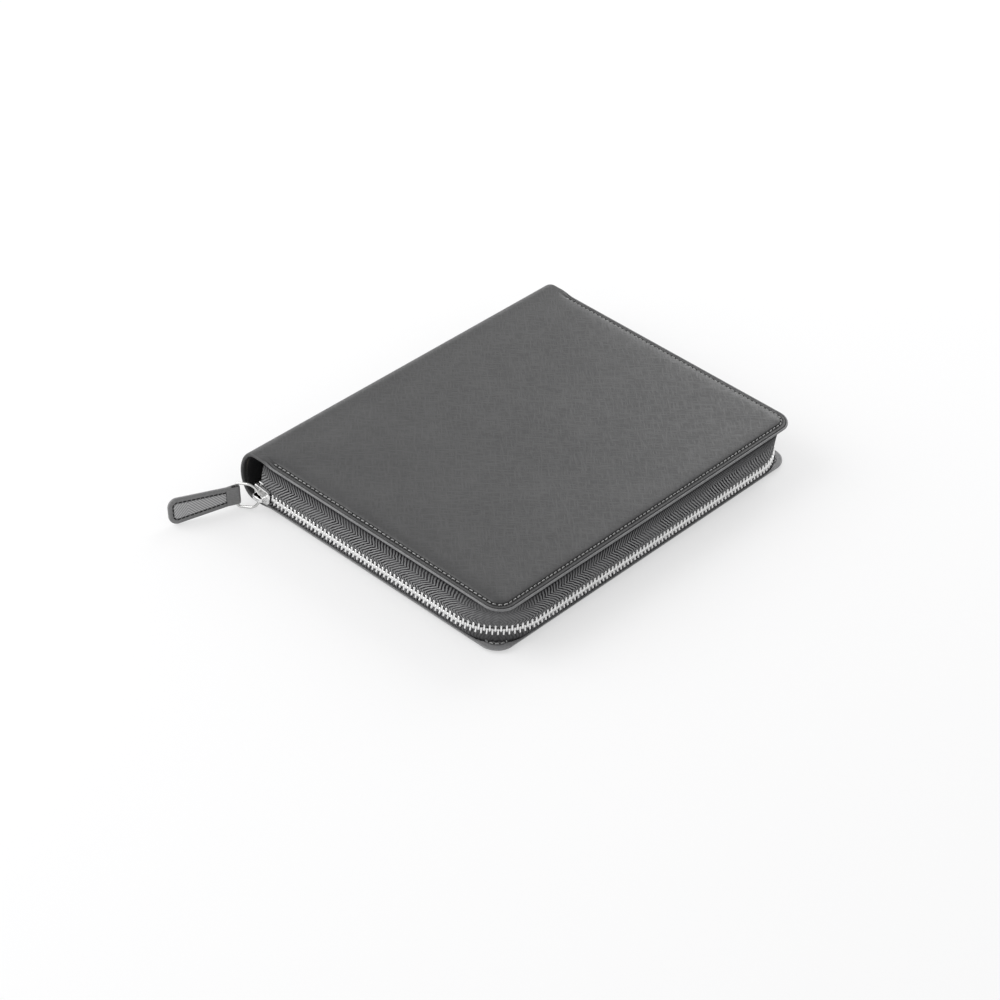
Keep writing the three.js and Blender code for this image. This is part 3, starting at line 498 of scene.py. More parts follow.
# A cover's section, from the middle of the outer face out to the lip and back in underneath:
# inset from the outline, depth where the leather wraps plainly (by the spine), depth at the stitched border
coverSection = np.array([
    *((inset, 0, 0) for inset in (120, 110, 98, 86, 74, 62, 52, 43, 35, 28, 22, 17, 13.5, 12)),
    *((inset, 0, border) for inset, border in (
        (11, 0.01), (10, 0.03), (9, 0.06), (8, 0.11), (7, 0.19), (6.2, 0.28), (5.6, 0.39), (5.1, 0.53),
        (4.8, 0.66), (4.6, 0.8), (4.45, 0.97), (4.35, 1.17), (4.28, 1.4), (4.15, 1.56), (3.9, 1.6), (3.5, 1.6),
        (3.1, 1.68), (2.8, 1.62), (2.4, 1.52), (2.0, 1.48), (1.7, 1.55), (1.45, 1.75), (1.25, 1.95),
    )),
    (1.1, 0.01, 1.92), (0.95, 0.03, 1.65), (0.7, 0.09, 1.48), (0.45, 0.18, 1.47), (0.22, 0.34, 1.57),
    (0.07, 0.56, 1.8), (0.0, 0.9, 2.1), (0.04, 1.35, 2.4), (0.18, 1.75, 2.6), (0.45, 2.05, 2.7), (0.9, 2.2, 2.7),
    (1.3, 2.2, 2.62), (1.6, 2.2, 2.4), (1.8, 2.2, 1.98), (2.8, 2.2, 1.85), (3.0, 1.1, 1.82), (6.0, 1.05, 1.8),
    (8.0, 1.0, 1.05), *((inset, 1.0, 1.0) for inset in (30, 60, 90, 120)),
])

# Painted shade in the creases of the border: inset, width and darkness
paintedCreaseShades = ((1.27, 0.22, 0.75), (3.1, 0.3, 0.75), (4.3, 0.3, 0.6))


def wholeOutline(inset, startX, corner):
    # A cover's outline at each inset: along the tail edge, round the corner and up the fore edge to its
    # middle, then the same mirrored. The corner radius is the outline's less the inset as far as evenTo,
    # and from there shrinks to nothing at the middle.
    evenTo, middle = 8, case["halfLength"]
    d = np.asarray(inset, float)[:, None]
    radius = np.where(d < evenTo, corner - d, (corner - evenTo) * (middle - d) / (middle - evenTo))
    right, top = case["halfWidth"] - d, middle - d
    tail = np.concatenate([np.linspace(0, 0.13, 14), np.linspace(0.15, 1, 52)])[None]
    turn = np.linspace(0, math.pi / 2, 17)[None, 1:]
    fore = np.linspace(0, 1, 40)[None, 1:]
    x = np.concatenate([startX + (right - radius - startX) * tail, right - radius + radius * np.sin(turn),
                        right + 0 * fore], axis=1)
    y = np.concatenate([-top + 0 * tail, -(top - radius + radius * np.cos(turn)),
                        -(top - radius) * (1 - fore)], axis=1)
    return np.concatenate([x, x[:, -2::-1]], axis=1), np.concatenate([y, -y[:, -2::-1]], axis=1)


def swell(x, y, inset):
    # The padding's crown, 1 - exp(-run), and slow waves of the leather over it
    crown = cover["crown"] * (1 - np.exp(-np.maximum(inset - cover["crownStart"], 0) / cover["crownRun"]))
    waves = 0.05 * np.sin(x / 13.1 + 0.8) * np.sin(y / 17.3 + 0.3) + 0.035 * np.sin(x / 23 - y / 15 + 2.0)
    return (crown + waves * smooth((inset - 7) / 20)) * smooth((x - case["foldX"] - 3) / 22)


def coverSkin(name, material, upper):
    # z = top - depth(inset, x), the depth mixed from the plain section to the border's
    d, plain, border = coverSection.T[:, :, None]
    x, y = wholeOutline(coverSection[:, 0], case["foldX"], case["foreCorner"])
    # 0 by the spine, 1 where the border is stitched down
    share = smooth((x - cover["stitchedFrom"]) / cover["stitchedRun"])
    outer = (np.arange(len(d)) <= np.argmin(d))[:, None]
    # the lower cover's turned edge stays level as far as the lining
    border = np.where(outer | upper | (d > 3.0), border, np.maximum(border, cover["lowerLevel"]))
    depth = plain * (1 - share) + border * share
    if upper:
        depth = depth - np.where(outer, swell(x, y, d), 0)
    z = case["height"] - depth if upper else depth
    # the UV map holds painted light along the edge, and painted shade in the creases beside the stitches
    wearAndPaintedLight = np.where(outer | upper, cover["upperPaintedLightTo"], cover["lowerPaintedLightTo"])
    paintedEdgeLight = np.clip((wearAndPaintedLight - d) / cover["paintedLightFade"], 0, 1) * share * (cover["upperPaintedLightShare"] if upper else 1)
    paintedCreaseShade = sum(dark * np.exp(-((d - at) / width) ** 2) for at, width, dark in paintedCreaseShades) * outer * share
    return makeSheet(name, joined(x, y, z), material, uv=joined(paintedEdgeLight, paintedCreaseShade), sharp=50)


def spineWrap(name, material, path, outward):
    # The plain section of the leather, across its whole length, carried along the spine's curve
    edge = case["halfLength"] - coverSection[:, 0]
    y = np.concatenate([-edge, edge[::-1]])
    depth = np.concatenate([coverSection[:, 1], coverSection[::-1, 1]])
    return makeSheet(name, strip(path, outward, y, -depth), material, sharp=50)


def ellipseArc(lowTurn, highTurn, count, depth=0.0):
    # Part of the spine's half ellipse: the turn runs from the top of the fold (0) to its foot (180)
    t = np.radians(np.linspace(lowTurn, highTurn, count))
    reach, half = case["spineReach"], case["spineHalf"]
    path = joined(case["foldX"] - (reach - depth) * np.sin(t), half + (half - depth) * np.cos(t))
    return path, unit(joined(-np.sin(t) / (reach - depth), np.cos(t) / (half - depth)))


print("scene: covers and spine")
for body, upper in (("front_cover", True), ("back_cover", False)):
    skin = settle(coverSkin(f"{body}_skin", coverLeather, upper), body, "cover_leather", f"{body}_leather")

for label, body, turns, startZ, endZ in (
    ("upper", "front_cover", (0, 65), 0.030, 0.0213), ("lower", "back_cover", (115, 180), 0.0, 0.0087),
):
    fold = spineWrap(f"{label}_fold_leather", coverLeather, *ellipseArc(*turns, 21))
    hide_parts("spine_leather")
    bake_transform(fold)
settle(spineWrap("spine_skin", coverLeather, *ellipseArc(65, 115, 17)), "spine", "cover_leather", "spine_leather")

# Linings, as inset and depth: flat where they are sewn to the lip, stepped over the board. The path of
# (x, z) points is that of the lining's fold at the back cover.
liningSection = np.array([
    (120, 4.2), (90, 4.2), (60, 4.2), (30, 4.2), (14, 4.2), (9.0, 4.2), (7.6, 4.16), (6.9, 4.02), (6.4, 3.75),
    (6.1, 3.4), (5.8, 3.18), (5.2, 3.1), (4.0, 3.08), (3.4, 3.05), (3.22, 2.95), (3.22, 2.75), (3.4, 2.65),
    (5.6, 2.64), (6.3, 3.0), (7.2, 3.66), (9.0, 3.7), (30, 3.7), (60, 3.7), (90, 3.7), (120, 3.7),
])
foldLiningPath = [
    (-82.9, 3.95), (-83.6, 2.4), (-85.2, 1.75), (-87.0, 2.2), (-88.7, 3.6), (-89.7, 5.4), (-90.28, 7.4),
]
lining = dict(borderTo=6.2, clothEnd=117.6, halfCloth=0.2, spineDepth=2.95)


def coverLining(name, upper):
    # its border follows the cover's own corners, and its raised middle the wider ones of the zip
    corner = np.where(liningSection[:, :1] < lining["borderTo"], case["foreCorner"], case["innerCorner"])
    x, y = wholeOutline(liningSection[:, 0], case["liningX"], corner)
    depth = liningSection[:, 1:2] + 0 * x
    z = case["height"] - depth if upper else depth
    return makeSheet(name, joined(x, y, z), paintedLightLining, sharp=50)


def clothStrip(path, square):  # half its thickness to each side of the path, from tail to head and back
    y = np.linspace(-lining["clothEnd"], lining["clothEnd"], 25)
    side = np.full(25, lining["halfCloth"])
    return strip(path, square, loopOf(y, y), loopOf(side, -side))


settle(coverLining("front_lining_cloth", True), "front_cover", "lining", "front_lining")
settle(coverLining("back_lining_cloth", False), "back_cover", "lining", "back_lining")
for label, body, startZ, endZ in (("upper", "front_cover", 0.026, 0.0226), ("lower", "back_cover", 0.004, 0.0074)):
    path = throughPoints(foldLiningPath, 25)
    grid = clothStrip(path, squareTo(path))
    if label == "upper":
        grid[..., 2] = case["height"] - grid[..., 2]
    fold = makeSheet(f"{label}_fold_lining", grid, liningCloth)
    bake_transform(fold)
spineCloth = clothStrip(*ellipseArc(50.5, 129.5, 25, lining["spineDepth"]))
settle(makeSheet("spine_lining_cloth", spineCloth, liningCloth), "spine", "lining", "spine_lining")

zipSizes = dict(
    pitch=2.8, firstTooth=9.9, lastTooth=3.4, toothShift=0.2, tapeThickness=0.5, tapeBow=2.6, gather=0.3,
    gatherPitch=4.1, gatherSpread=17, turnIn=1.2, turnRun=6, ridgeAcross=4.3,
)
lastStation = 6  # stations count the straight sides and corners of a path round the case


def casePoint(station, outward, corner, startX):
    # Point, tangent and outward direction round a rounded rectangle: stations 0 to 1 along the tail
    # edge, to 2 round the corner, to 4 along the fore edge, to 5 round the corner, to 6 along the head.
    # The corner radius is that at the cover's edge, and the offset lies outwards of the edge.
    mirrored = station > lastStation / 2
    half = np.where(mirrored, lastStation - station, station)
    side = np.where(mirrored, -1.0, 1.0)
    angle = np.clip(half - 1, 0, 1) * math.pi / 2
    out = joined(np.sin(angle), -side * np.cos(angle))
    along = joined(side * np.cos(angle), np.sin(angle))
    centreX, centreY = case["halfWidth"] - corner, case["halfLength"] - corner
    reach = corner + outward
    x = np.where(half <= 1, startX + (centreX - startX) * half, centreX + reach * np.sin(angle))
    low = centreY * np.clip(3 - half, 0, 1) + reach * np.cos(angle)
    return joined(x, -side * low), along, out


def caseRuns(outward, corner, startX):
    # Runs in mm at the stations 0, 1, 2, 4, 5 and 6 of a path round the case
    tail = case["halfWidth"] - corner - startX
    turn = (corner + outward) * math.pi / 2
    return np.cumsum([0, tail, turn, 2 * (case["halfLength"] - corner), turn, tail])


def stationAt(run, runs):
    return np.interp(run, runs, (0, 1, 2, 4, 5, lastStation))


chainEdge = case["chainCorner"] - case["chainBulge"]
chainRuns = caseRuns(case["chainBulge"], chainEdge, case["tapeEndX"])
chainRun = chainRuns[-1]


def zipTape(name, upper):
    # The tape's section (outward, height) carried round the case: it leaves the seam on the seam's own
    # corner radius and reaches the chain on the chain's wider one, gathering a little at the corners
    run = np.linspace(0, chainRun, 760)[:, None]
    t = np.linspace(0, 1, 15)
    seamZ, edgeZ = (27.75, 11.65) if upper else (2.25, 8.9)
    section = joined(
        np.concatenate([[-6.2, -2.4], case["chainBulge"] - zipSizes["tapeBow"] * (1 - t) ** 3]),
        np.concatenate([[seamZ, seamZ], seamZ + (edgeZ - seamZ) * t]),
    )
    half = squareTo(section) * zipSizes["tapeThickness"] / 2 * (-1 if upper else 1)
    loopX, loopZ = loopOf(section + half, section - half).T[:, None]
    reach, climb = runAlong(section), np.concatenate([[0, 0], 1 - (1 - t) ** 3])
    across, share = loopOf(reach, reach)[None], loopOf(climb, climb)[None]
    fromCorner = np.abs(run - chainRun / 2) - (chainRuns[3] - chainRuns[1]) / 2
    gathers = np.exp(-(fromCorner / zipSizes["gatherSpread"]) ** 2) * np.sin(run * fullTurn / zipSizes["gatherPitch"])
    free = smooth(share * 4) * (1 - np.clip((across - reach[-1] + 3) / 3, 0, 1))
    corner = case["innerCorner"] + (chainEdge - case["innerCorner"]) * share
    offset = loopX + zipSizes["gather"] * gathers * free
    place, _, _ = casePoint(stationAt(run, chainRuns) + 0 * loopX, offset, corner, case["tapeEndX"])
    # the raw ends are turned in at the spine
    atEnd = sum(smooth(1 - left / zipSizes["turnRun"]) for left in (run, chainRun - run))
    y = place[..., 1] - np.sign(place[..., 1]) * zipSizes["turnIn"] * atEnd
    grid = joined(place[..., 0], y, loopZ + 0 * run)
    # the weave's run is counted both ways from the first corner, where it closes up
    counted = np.abs(run - (chainRuns[1] + chainRuns[2]) / 2)
    uv = joined(counted * mm + 0 * loopX, (across - zipSizes["ridgeAcross"]) * mm + 0 * run)
    return makeSheet(name, grid, tapeCloth, uv=uv, sharp=60)


def teethRow(name, side, firstRun):
    # One tooth is a stack of squared ovals from its head to the clamp's back, set at every pitch.
    # The lower row's clamps stand out a little more, as their tape does.
    near, far = (1.08, 0.98) if side > 0 else (0.82, 1.3)
    tooth, faces = spindle([
        (-1.0, 0, 0, 0), (-0.97, 0.42, 0.85, 0), (-0.8, 0.64, 1.16, 0), (-0.1, 0.69, 1.3, 0),
        (0.55, 0.67, 1.24, 0), (0.85, 0.56, near, 0), (2.5, 0.57, far, 0), (2.8, 0.51, far * 0.95, 0),
        (2.95, 0.32, far * 0.8, 0), (2.98, 0, 0, 0),
    ], 8, 0.5, math.pi / 8)
    count = int((chainRun - zipSizes["lastTooth"] - firstRun) // zipSizes["pitch"])
    run = firstRun + (np.arange(count) + zipSizes["toothShift"]) * zipSizes["pitch"]
    place, along, out = casePoint(stationAt(run, chainRuns), case["chainBulge"], chainEdge, case["tapeEndX"])
    frames = joined(np.tile([0, 0, side], (count, 1)), lifted(along), lifted(out))
    teeth = repeated(tooth, faces, lifted(place, case["chainHeight"]), frames)
    return makePiece(name, *teeth, zipMetal, sharp=24, merge=0.0005)


print("scene: zip")
zipRows = (("upper", "front_cover", 1, 0), ("lower", "back_cover", -1, zipSizes["pitch"] / 2))
for label, body, side, _ in zipRows:
    settle(zipTape(f"{label}_zip_cloth", side > 0), body, "zip_tape", f"{label}_zip_tape")
for label, body, side, shift in zipRows:
    teeth = teethRow(f"{label}_teeth", side, zipSizes["firstTooth"] + shift)
    settle(teeth, body, "zip_metal", f"{label}_zip_teeth")

# Stitches of the borders and the needle's holes between them
stitchSizes = dict(pitch=3.05, length=2.35, halfWidth=0.38, halfHeight=0.34, inset=3.85, startX=-73.0, slant=5)
holeSizes = dict(length=0.95, halfWidth=0.5, halfHeight=0.12, drop=0.13, slant=0)
stitchShape, stitchFaces = spindle([
    (-0.5, 0, 0, -0.5), (-0.46, 0.7, 0.7, -0.25), (-0.3, 1, 1, 0.35), (0, 1, 1, 0.5), (0.3, 1, 1, 0.35),
    (0.46, 0.7, 0.7, -0.25), (0.5, 0, 0, -0.5),
], 6)


def stitchLine(name, body, slot, places, along, normal, sizes, material=threadMaterial):
    # Stitches at places (mm), each along its line, proud of the surface along its normal
    template = stitchShape * np.array([sizes["length"], sizes["halfWidth"], sizes["halfHeight"]])
    slant = math.radians(sizes["slant"])
    turned = along * math.cos(slant) + np.cross(normal, along) * math.sin(slant)
    frames = joined(turned, np.cross(normal, turned), normal)
    stitches = repeated(template, stitchFaces, places, frames)
    return settle(makePiece(name, *stitches, material, sharp=80, merge=0.0005), body, slot)


def borderStitches(name, body, z, facing):
    inset, startX = stitchSizes["inset"], stitchSizes["startX"]
    runs = caseRuns(-inset, case["foreCorner"], startX)
    count = int(runs[-1] // stitchSizes["pitch"])
    for label, shift, drop, sizes, material in (
        ("stitches", 0.5, 0, stitchSizes, threadMaterial), ("needle_holes", 0, holeSizes["drop"], holeSizes, holeShade),
    ):
        run = (np.arange(count) + shift) * runs[-1] / count
        place, along, _ = casePoint(stationAt(run, runs), -inset, case["foreCorner"], startX)
        stitchLine(f"{name}_{label}", body, "cover_leather", lifted(place, z - facing * drop), lifted(along),
                   np.tile([0.0, 0, facing], (count, 1)), sizes, material)


borderStitches("front_border", "front_cover", 28.56, 1)
borderStitches("front_inner", "front_cover", 26.88, -1)
borderStitches("back_border", "back_cover", 1.44, -1)
borderStitches("back_inner", "back_cover", 3.12, 1)

print("scene: pull")
pull = dict(
    turn=64.4, droop=7.8, lean=-6.6, fold=-45, ringOutY=-125.05, wire=1.5, ringWidth=15.5, ringDepth=13,
    ringCorner=2.2, tabLength=39, neckHalf=5.5, endHalf=7.6, tabCorner=5.2, panelInset=3.25, stitchInset=2.65,
    middleFrom=7.5, middleTo=32, panelFrom=6.2, padFrom=13.5, padTo=26, stitchFrom=5.6, loopRadius=1.72,
    loopHalf=5.15, loopThick=0.36,
)
turn, droop, lean, fold = (math.radians(pull[key]) for key in ("turn", "droop", "lean", "fold"))
reachAxis = np.array([-math.sin(turn) * math.cos(droop), -math.cos(turn) * math.cos(droop), -math.sin(droop)])
sideAxis = np.array([math.cos(turn), -math.sin(turn), 0])
barAxis = np.cross(sideAxis, reachAxis) * math.cos(lean) - sideAxis * math.sin(lean)
tabAxis = reachAxis * math.cos(fold) + np.cross(barAxis, reachAxis) * math.sin(fold)
ringFrame = joined(reachAxis, barAxis, np.cross(reachAxis, barAxis))
tabFrame = joined(tabAxis, barAxis, np.cross(tabAxis, barAxis))
ringOrigin = np.array([case["sliderX"], pull["ringOutY"], case["chainHeight"]])
tabOrigin = ringOrigin + reachAxis * pull["ringDepth"]


def tabPlace(points):  # from the tab's own axes, with the ring's bar at the origin
    return points @ tabFrame.T + tabOrigin


def ringPath():
    # The D's centreline: half an ellipse at the bail, two straight sides, two corners and the bar
    half = pull["ringWidth"] / 2 - pull["wire"] / 2
    corner = pull["ringCorner"] - pull["wire"] / 2
    far, bow = pull["ringDepth"], pull["ringDepth"] / 2
    bowPart = arc(bow, 0, bow, half, np.linspace(math.pi / 2, math.pi * 1.5, 41)[:-1])
    first = arc(far - corner, corner - half, corner, corner, np.linspace(-math.pi / 2, 0, 7))
    side = joined(np.linspace(bow, far - corner, 5)[:-1], np.full(4, -half))
    bar = joined(np.full(5, far), np.linspace(-half + corner, half - corner, 7)[1:-1])
    return lifted(np.concatenate([bowPart, side, first, bar, (first * [1, -1])[::-1], (side * [1, -1])[::-1][:-1]]))


ringWire = sweptTube(ringPath(), pull["wire"] / 2, closed=True) @ ringFrame.T + ringOrigin
settle(makeSheet("pull_ring_wire", ringWire, nickel, sharp=80), "pull_ring", "nickel", "pull_ring")
for name, node, body, bevel in (("slider_case", "slider_body", "slider", 0.4),
                                ("slider_bridge", "slider_bail", "slider", 0.4),
                                ("end_stop", "zip_end_stop", "back_cover", 0.3)):
    settle(refined(name, node, zipMetal, bevel), body, "zip_metal", node)


def tabOutline(count):
    # The strap's outline, anticlockwise from the middle of its neck: straight neck, sides that widen,
    # and an end with round corners
    length, neck, end, corner = (pull[key] for key in ("tabLength", "neckHalf", "endHalf", "tabCorner"))
    turned = arc(length - corner, corner - end, corner, corner, np.radians(np.linspace(-86, 0, 20)))
    start = np.array([(2.2, 0.0), (2.2, -neck + 0.6), (2.8, -neck), (5.0, -neck - 0.05)])
    line = np.concatenate([start, turned, [(length, 0.0)]])
    line = np.concatenate([line, (line * [1, -1])[::-1][1:]])
    return pointsAt(line, np.linspace(0, runAlong(line)[-1], count))


def insetRings(outline, section):
    # A flat form from its outline: each row of the section is an inset and a height. Past evenTo
    # the outline draws in evenly, to a line down the middle at the inset spent.
    evenTo, spent = 3.6, 6
    tangent = np.roll(outline, -1, 0) - np.roll(outline, 1, 0)
    tangent[0] = tangent[-1] = (0, -1)
    tangent = unit(tangent)
    inward = joined(-tangent[:, 1], tangent[:, 0])
    inset, height = np.asarray(section, float).T[:, :, None, None]
    rings = outline[None] + inward[None] * np.minimum(inset, evenTo)
    middle = joined(np.clip(outline[:, 0], pull["middleFrom"], pull["middleTo"]), 0 * outline[:, 1])
    share = np.clip((inset - evenTo) / (spent - evenTo), 0, 1)
    flat = rings * (1 - share) + middle[None] * share
    return np.concatenate([flat, np.broadcast_to(height, (*flat.shape[:2], 1))], axis=2)


tabSection = [
    (6.0, 0.86), (4.8, 0.86), (3.6, 0.86), (3.0, 0.82), (2.75, 0.70), (2.55, 0.70), (2.3, 0.92), (1.7, 1.08),
    (1.0, 1.08), (0.5, 0.98), (0.2, 0.78), (0.03, 0.45), (0.0, 0.1),
]
tabSection += [(inset, -height) for inset, height in tabSection[::-1]]
tabLine = tabOutline(181)
strap = tabPlace(insetRings(tabLine, tabSection))
settle(makeSheet("tab_strap", strap, tabLeather, sharp=60), "pull_tab", "cover_leather", "pull_tab")

# The inset panel of each face: fine slanting lines, lighter than the rim, that turn back near the end
panelLines = dict(turnAt=0.028, pitch=0.0017)
panelLeather, tree, shader = newMaterial("panelLeather", {"Roughness": 0.5})
alongTab, acrossTab = parts(tree, uvPoint(tree))[:2]
fromTurn = maths(tree, "ABSOLUTE", maths(tree, "SUBTRACT", alongTab, panelLines["turnAt"]))
slanted = maths(tree, "MULTIPLY_ADD", fromTurn, -1.0, acrossTab)
lineWave = maths(tree, "SINE", times(tree, slanted, fullTurn / panelLines["pitch"]))
pressed = stretch(tree, lineWave, -0.7, 0.7)
connect(tree, shader, {"Base Color": blendColors(tree, pressed, *finishes["panel"])})
addBump(tree, shader, pressed, 0.6, 0.12)


def tabInside(inset, fromX):  # the strap's outline drawn in, closed straight across near the neck
    line = insetRings(tabLine, [(inset, 0)])[0, :, :2]
    line = line[line[:, 0] > fromX]
    return np.concatenate([line, line[:1]])


def tabPanel(name, facing):
    # A thin pad over the strap's middle, drawn in from the strap's outline to a line down its middle
    closed = tabInside(pull["panelInset"], pull["panelFrom"])
    share, height = np.array([(0.0, 0.55), (0.0, 0.90), (0.03, 1.0), (0.1, 1.06), (0.3, 1.1), (1.0, 1.1)]).T[:, :, None]
    flat = closed + (closed.mean(0) - closed) * share[:, :, None]
    flat[-1] = joined(np.clip(closed[:, 0], pull["padFrom"], pull["padTo"]), 0 * closed[:, 1])
    grid = np.concatenate([flat, np.broadcast_to(facing * height, flat.shape[:2])[..., None]], axis=2)
    return settle(makeSheet(name, tabPlace(grid), panelLeather, uv=flat * mm, sharp=60), "pull_tab", "cover_leather")


tabPanel("tab_panel_outer", 1)
tabPanel("tab_panel_inner", -1)
tabStitch = dict(pitch=2.5, length=2.15, halfWidth=0.36, halfHeight=0.24, height=0.78, slant=4)
stitchPath = tabInside(pull["stitchInset"], pull["stitchFrom"])
stitchRun = runAlong(stitchPath)[-1]
stitchCount = int(stitchRun // tabStitch["pitch"])
at = (np.arange(stitchCount) + 0.5) * stitchRun / stitchCount
spot = pointsAt(stitchPath, at)
heading = unit(pointsAt(stitchPath, at + 0.4) - spot)
for label, facing in (("outer", 1), ("inner", -1)):
    stitchLine(f"tab_stitches_{label}", "pull_tab", "cover_leather",
               tabPlace(lifted(spot, facing * tabStitch["height"])), lifted(heading) @ tabFrame.T,
               np.tile(tabFrame[:, 2] * facing, (stitchCount, 1)), tabStitch, holeShade)

# The strap's own loop round the ring's bar: a strip bent round it, with its ends on the strap
loop = arc(0, 0, pull["loopRadius"], pull["loopRadius"], np.linspace(-math.pi * 0.62, -math.pi * 1.38, 25))
lower = throughPoints([(6.0, -1.0), (4.0, -1.28), (1.8, -1.5), loop[0] + [0.35, -0.06]], 14)
loopPath = np.concatenate([lower, loop, (lower * [1, -1])[::-1]])
v = np.linspace(0, fullTurn, 33)
wide, thick = pull["loopHalf"] * squared(np.cos(v), 0.35), pull["loopThick"] * squared(np.sin(v), 0.7)
settle(makeSheet("tab_loop", tabPlace(strip(loopPath, squareTo(loopPath), wide, thick)), tabLeather, sharp=60),
       "pull_tab", "cover_leather")

print("scene: inside")
mechanism = dict(x=-70.0, leafTop=6.0, wireRadius=1.3, ringRadius=8.9, ringCentreZ=13.8, footSpread=5.6,
                 halfGap=0.15, firstRing=35, ringStep=19)
ringPlaces = [side * (mechanism["firstRing"] + k * mechanism["ringStep"]) for side in (-1, 1) for k in range(3)]
sheets = dict(climb=4.7, climbX=-54.7, climbRun=40)


def halfRing(side, y):
    # The wire's centreline: a bend up from the leaf, then an arc to the tip over the mechanism
    radius, low = mechanism["ringRadius"], -math.pi / 6
    turns = np.linspace(low, math.acos(mechanism["halfGap"] / radius), 33)
    bow = arc(0, mechanism["ringCentreZ"], radius, radius, turns)
    foot = np.array([mechanism["footSpread"], mechanism["leafTop"] + 0.05])
    along = np.array([math.sin(-low), math.cos(low)])
    p = [foot, foot + [0, 1.5], bow[0] - 1.4 * along, bow[0]]
    t = np.linspace(0, 1, 9)[:-1, None]
    bend = (1 - t) ** 3 * p[0] + 3 * t * (1 - t) ** 2 * p[1] + 3 * t * t * (1 - t) * p[2] + t ** 3 * p[3]
    line = np.concatenate([bend, bow])
    return np.column_stack([mechanism["x"] + side * line[:, 0], np.full(len(line), y), line[:, 1]])


for hand, side in (("left", -1), ("right", 1)):
    for k, y in enumerate(ringPlaces):
        wire = sweptTube(halfRing(side, y), mechanism["wireRadius"])
        settle(makeSheet(f"{hand}_ring_wire_{k + 1}", wire, nickel, sharp=60), f"{hand}_leaf", "nickel",
               f"{hand}_half_ring_{k + 1}")
for node, body, bevel in (
    ("ring_cover_plate", "back_cover", 0.2), ("rivet_tail", "back_cover", 0.12), ("rivet_head", "back_cover", 0.12),
    ("lever_pin_tail", "back_cover", 0.12), ("lever_pin_head", "back_cover", 0.12),
    ("lever_tail", "lever_tail", 0.3), ("lever_head", "lever_head", 0.3),
    ("left_leaf", "left_leaf", 0.15), ("right_leaf", "right_leaf", 0.15),
):
    settle(refined(f"{node}_finished", node, nickel, bevel), body, "nickel", node)


def leafedCopy(name, node, material):
    # A merged copy of a block whose UV map holds (1 on its sides, height within the stack). The stack
    # climbs by climb * (1 - smooth) from the fore edge towards the rings.
    piece = refined(name, node, material)
    mesh = piece.data
    while mesh.uv_layers:
        mesh.uv_layers.remove(mesh.uv_layers[0])
    place = np.empty(len(mesh.vertices) * 3)
    mesh.vertices.foreach_get("co", place)
    x, _, z = place.reshape(-1, 3)[faceCorners(mesh)].T
    normal = np.empty(len(mesh.polygons) * 3)
    mesh.polygons.foreach_get("normal", normal)
    total = np.empty(len(mesh.polygons), np.int32)
    mesh.polygons.foreach_get("loop_total", total)
    side = np.repeat(np.abs(normal.reshape(-1, 3)[:, 2]) < 0.5, total).astype(float)
    climb = sheets["climb"] * (1 - smooth((x / mm - sheets["climbX"]) / sheets["climbRun"]))
    layUv(mesh, joined(side, z - climb * mm))
    return piece


for node in ("page_block_lower", "page_block_upper"):
    settle(leafedCopy(f"{node}_leaves", node, pageStock), "back_cover", "paper", node)
for node in ("divider_1", "divider_2", "divider_3"):
    settle(refined(f"{node}_card", node, cardStock), "back_cover", "divider_card", node)


pocketSeam = dict(pitch=3.0, length=2.2, halfWidth=0.26, halfHeight=0.2, slant=4, inset=1.8, height=0.42,
                  fromSide=2.4, fromFoot=3.4, fromEnd=2.2)


def pocket(name, node, body, facing, corner):
    # A rounded rectangle with a turned edge: its outline, with corners of one radius, drawn in ring by
    # ring and raised from the lining
    low, high = (np.array(place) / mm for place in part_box(node))
    z, low, high = (low if facing > 0 else high)[2], low[:2], high[:2]
    centre, half = (low + high) / 2, (high - low) / 2
    rows = [(0, 0.0), (0, 0.3), (0.12, 0.46), (0.4, 0.52), (1.2, 0.52), (1.6, 0.40), (2.0, 0.40), (2.4, 0.5),
            (4.0, 0.5), (min(half), 0.5), (min(half), 0.0)]
    turns = np.linspace(0, math.pi / 2, 9)
    grid = []
    for inset, height in rows[-1:] + rows[:-1]:
        r = max(corner - inset, 0)
        arms = half - inset - r
        ring = [arc(sx * arms[0], sy * arms[1], r, r, turns + start * math.pi)
                for sx, sy, start in ((1, 1, 0), (-1, 1, 0.5), (-1, -1, 1), (1, -1, 1.5))]
        grid.append(lifted(np.concatenate([*ring, ring[0][:1]]) + centre, z + facing * height))
    settle(makeSheet(name, np.array(grid), innerLeather, sharp=50), body, "inner_leather", node)
    # three sewn sides, the fourth left open
    run, rise = (np.arange(low[k] + pocketSeam[start], high[k] - pocketSeam["fromEnd"], pocketSeam["pitch"])
                 for k, start in ((0, "fromSide"), (1, "fromFoot")))
    side, foot = pocketSeam["inset"], low[1] + pocketSeam["inset"]
    places = np.concatenate([lifted(run, foot)] + [lifted(rise, x)[:, ::-1] for x in (low[0] + side, high[0] - side)])
    along = np.repeat(np.eye(3)[:2], [len(run), 2 * len(rise)], axis=0)
    stitchLine(f"{name}_stitches", body, "inner_leather", lifted(places, z + facing * pocketSeam["height"]), along,
               np.tile([0.0, 0, facing], (len(places), 1)), pocketSeam)


for k in (1, 2, 3):
    pocket(f"card_sleeve_{k}", f"card_pocket_{k}", "front_cover", -1, 2.0)
pocket("document_sleeve", "document_pocket", "front_cover", -1, 3.0)
pocket("back_sleeve", "back_pocket", "back_cover", 1, 3.0)

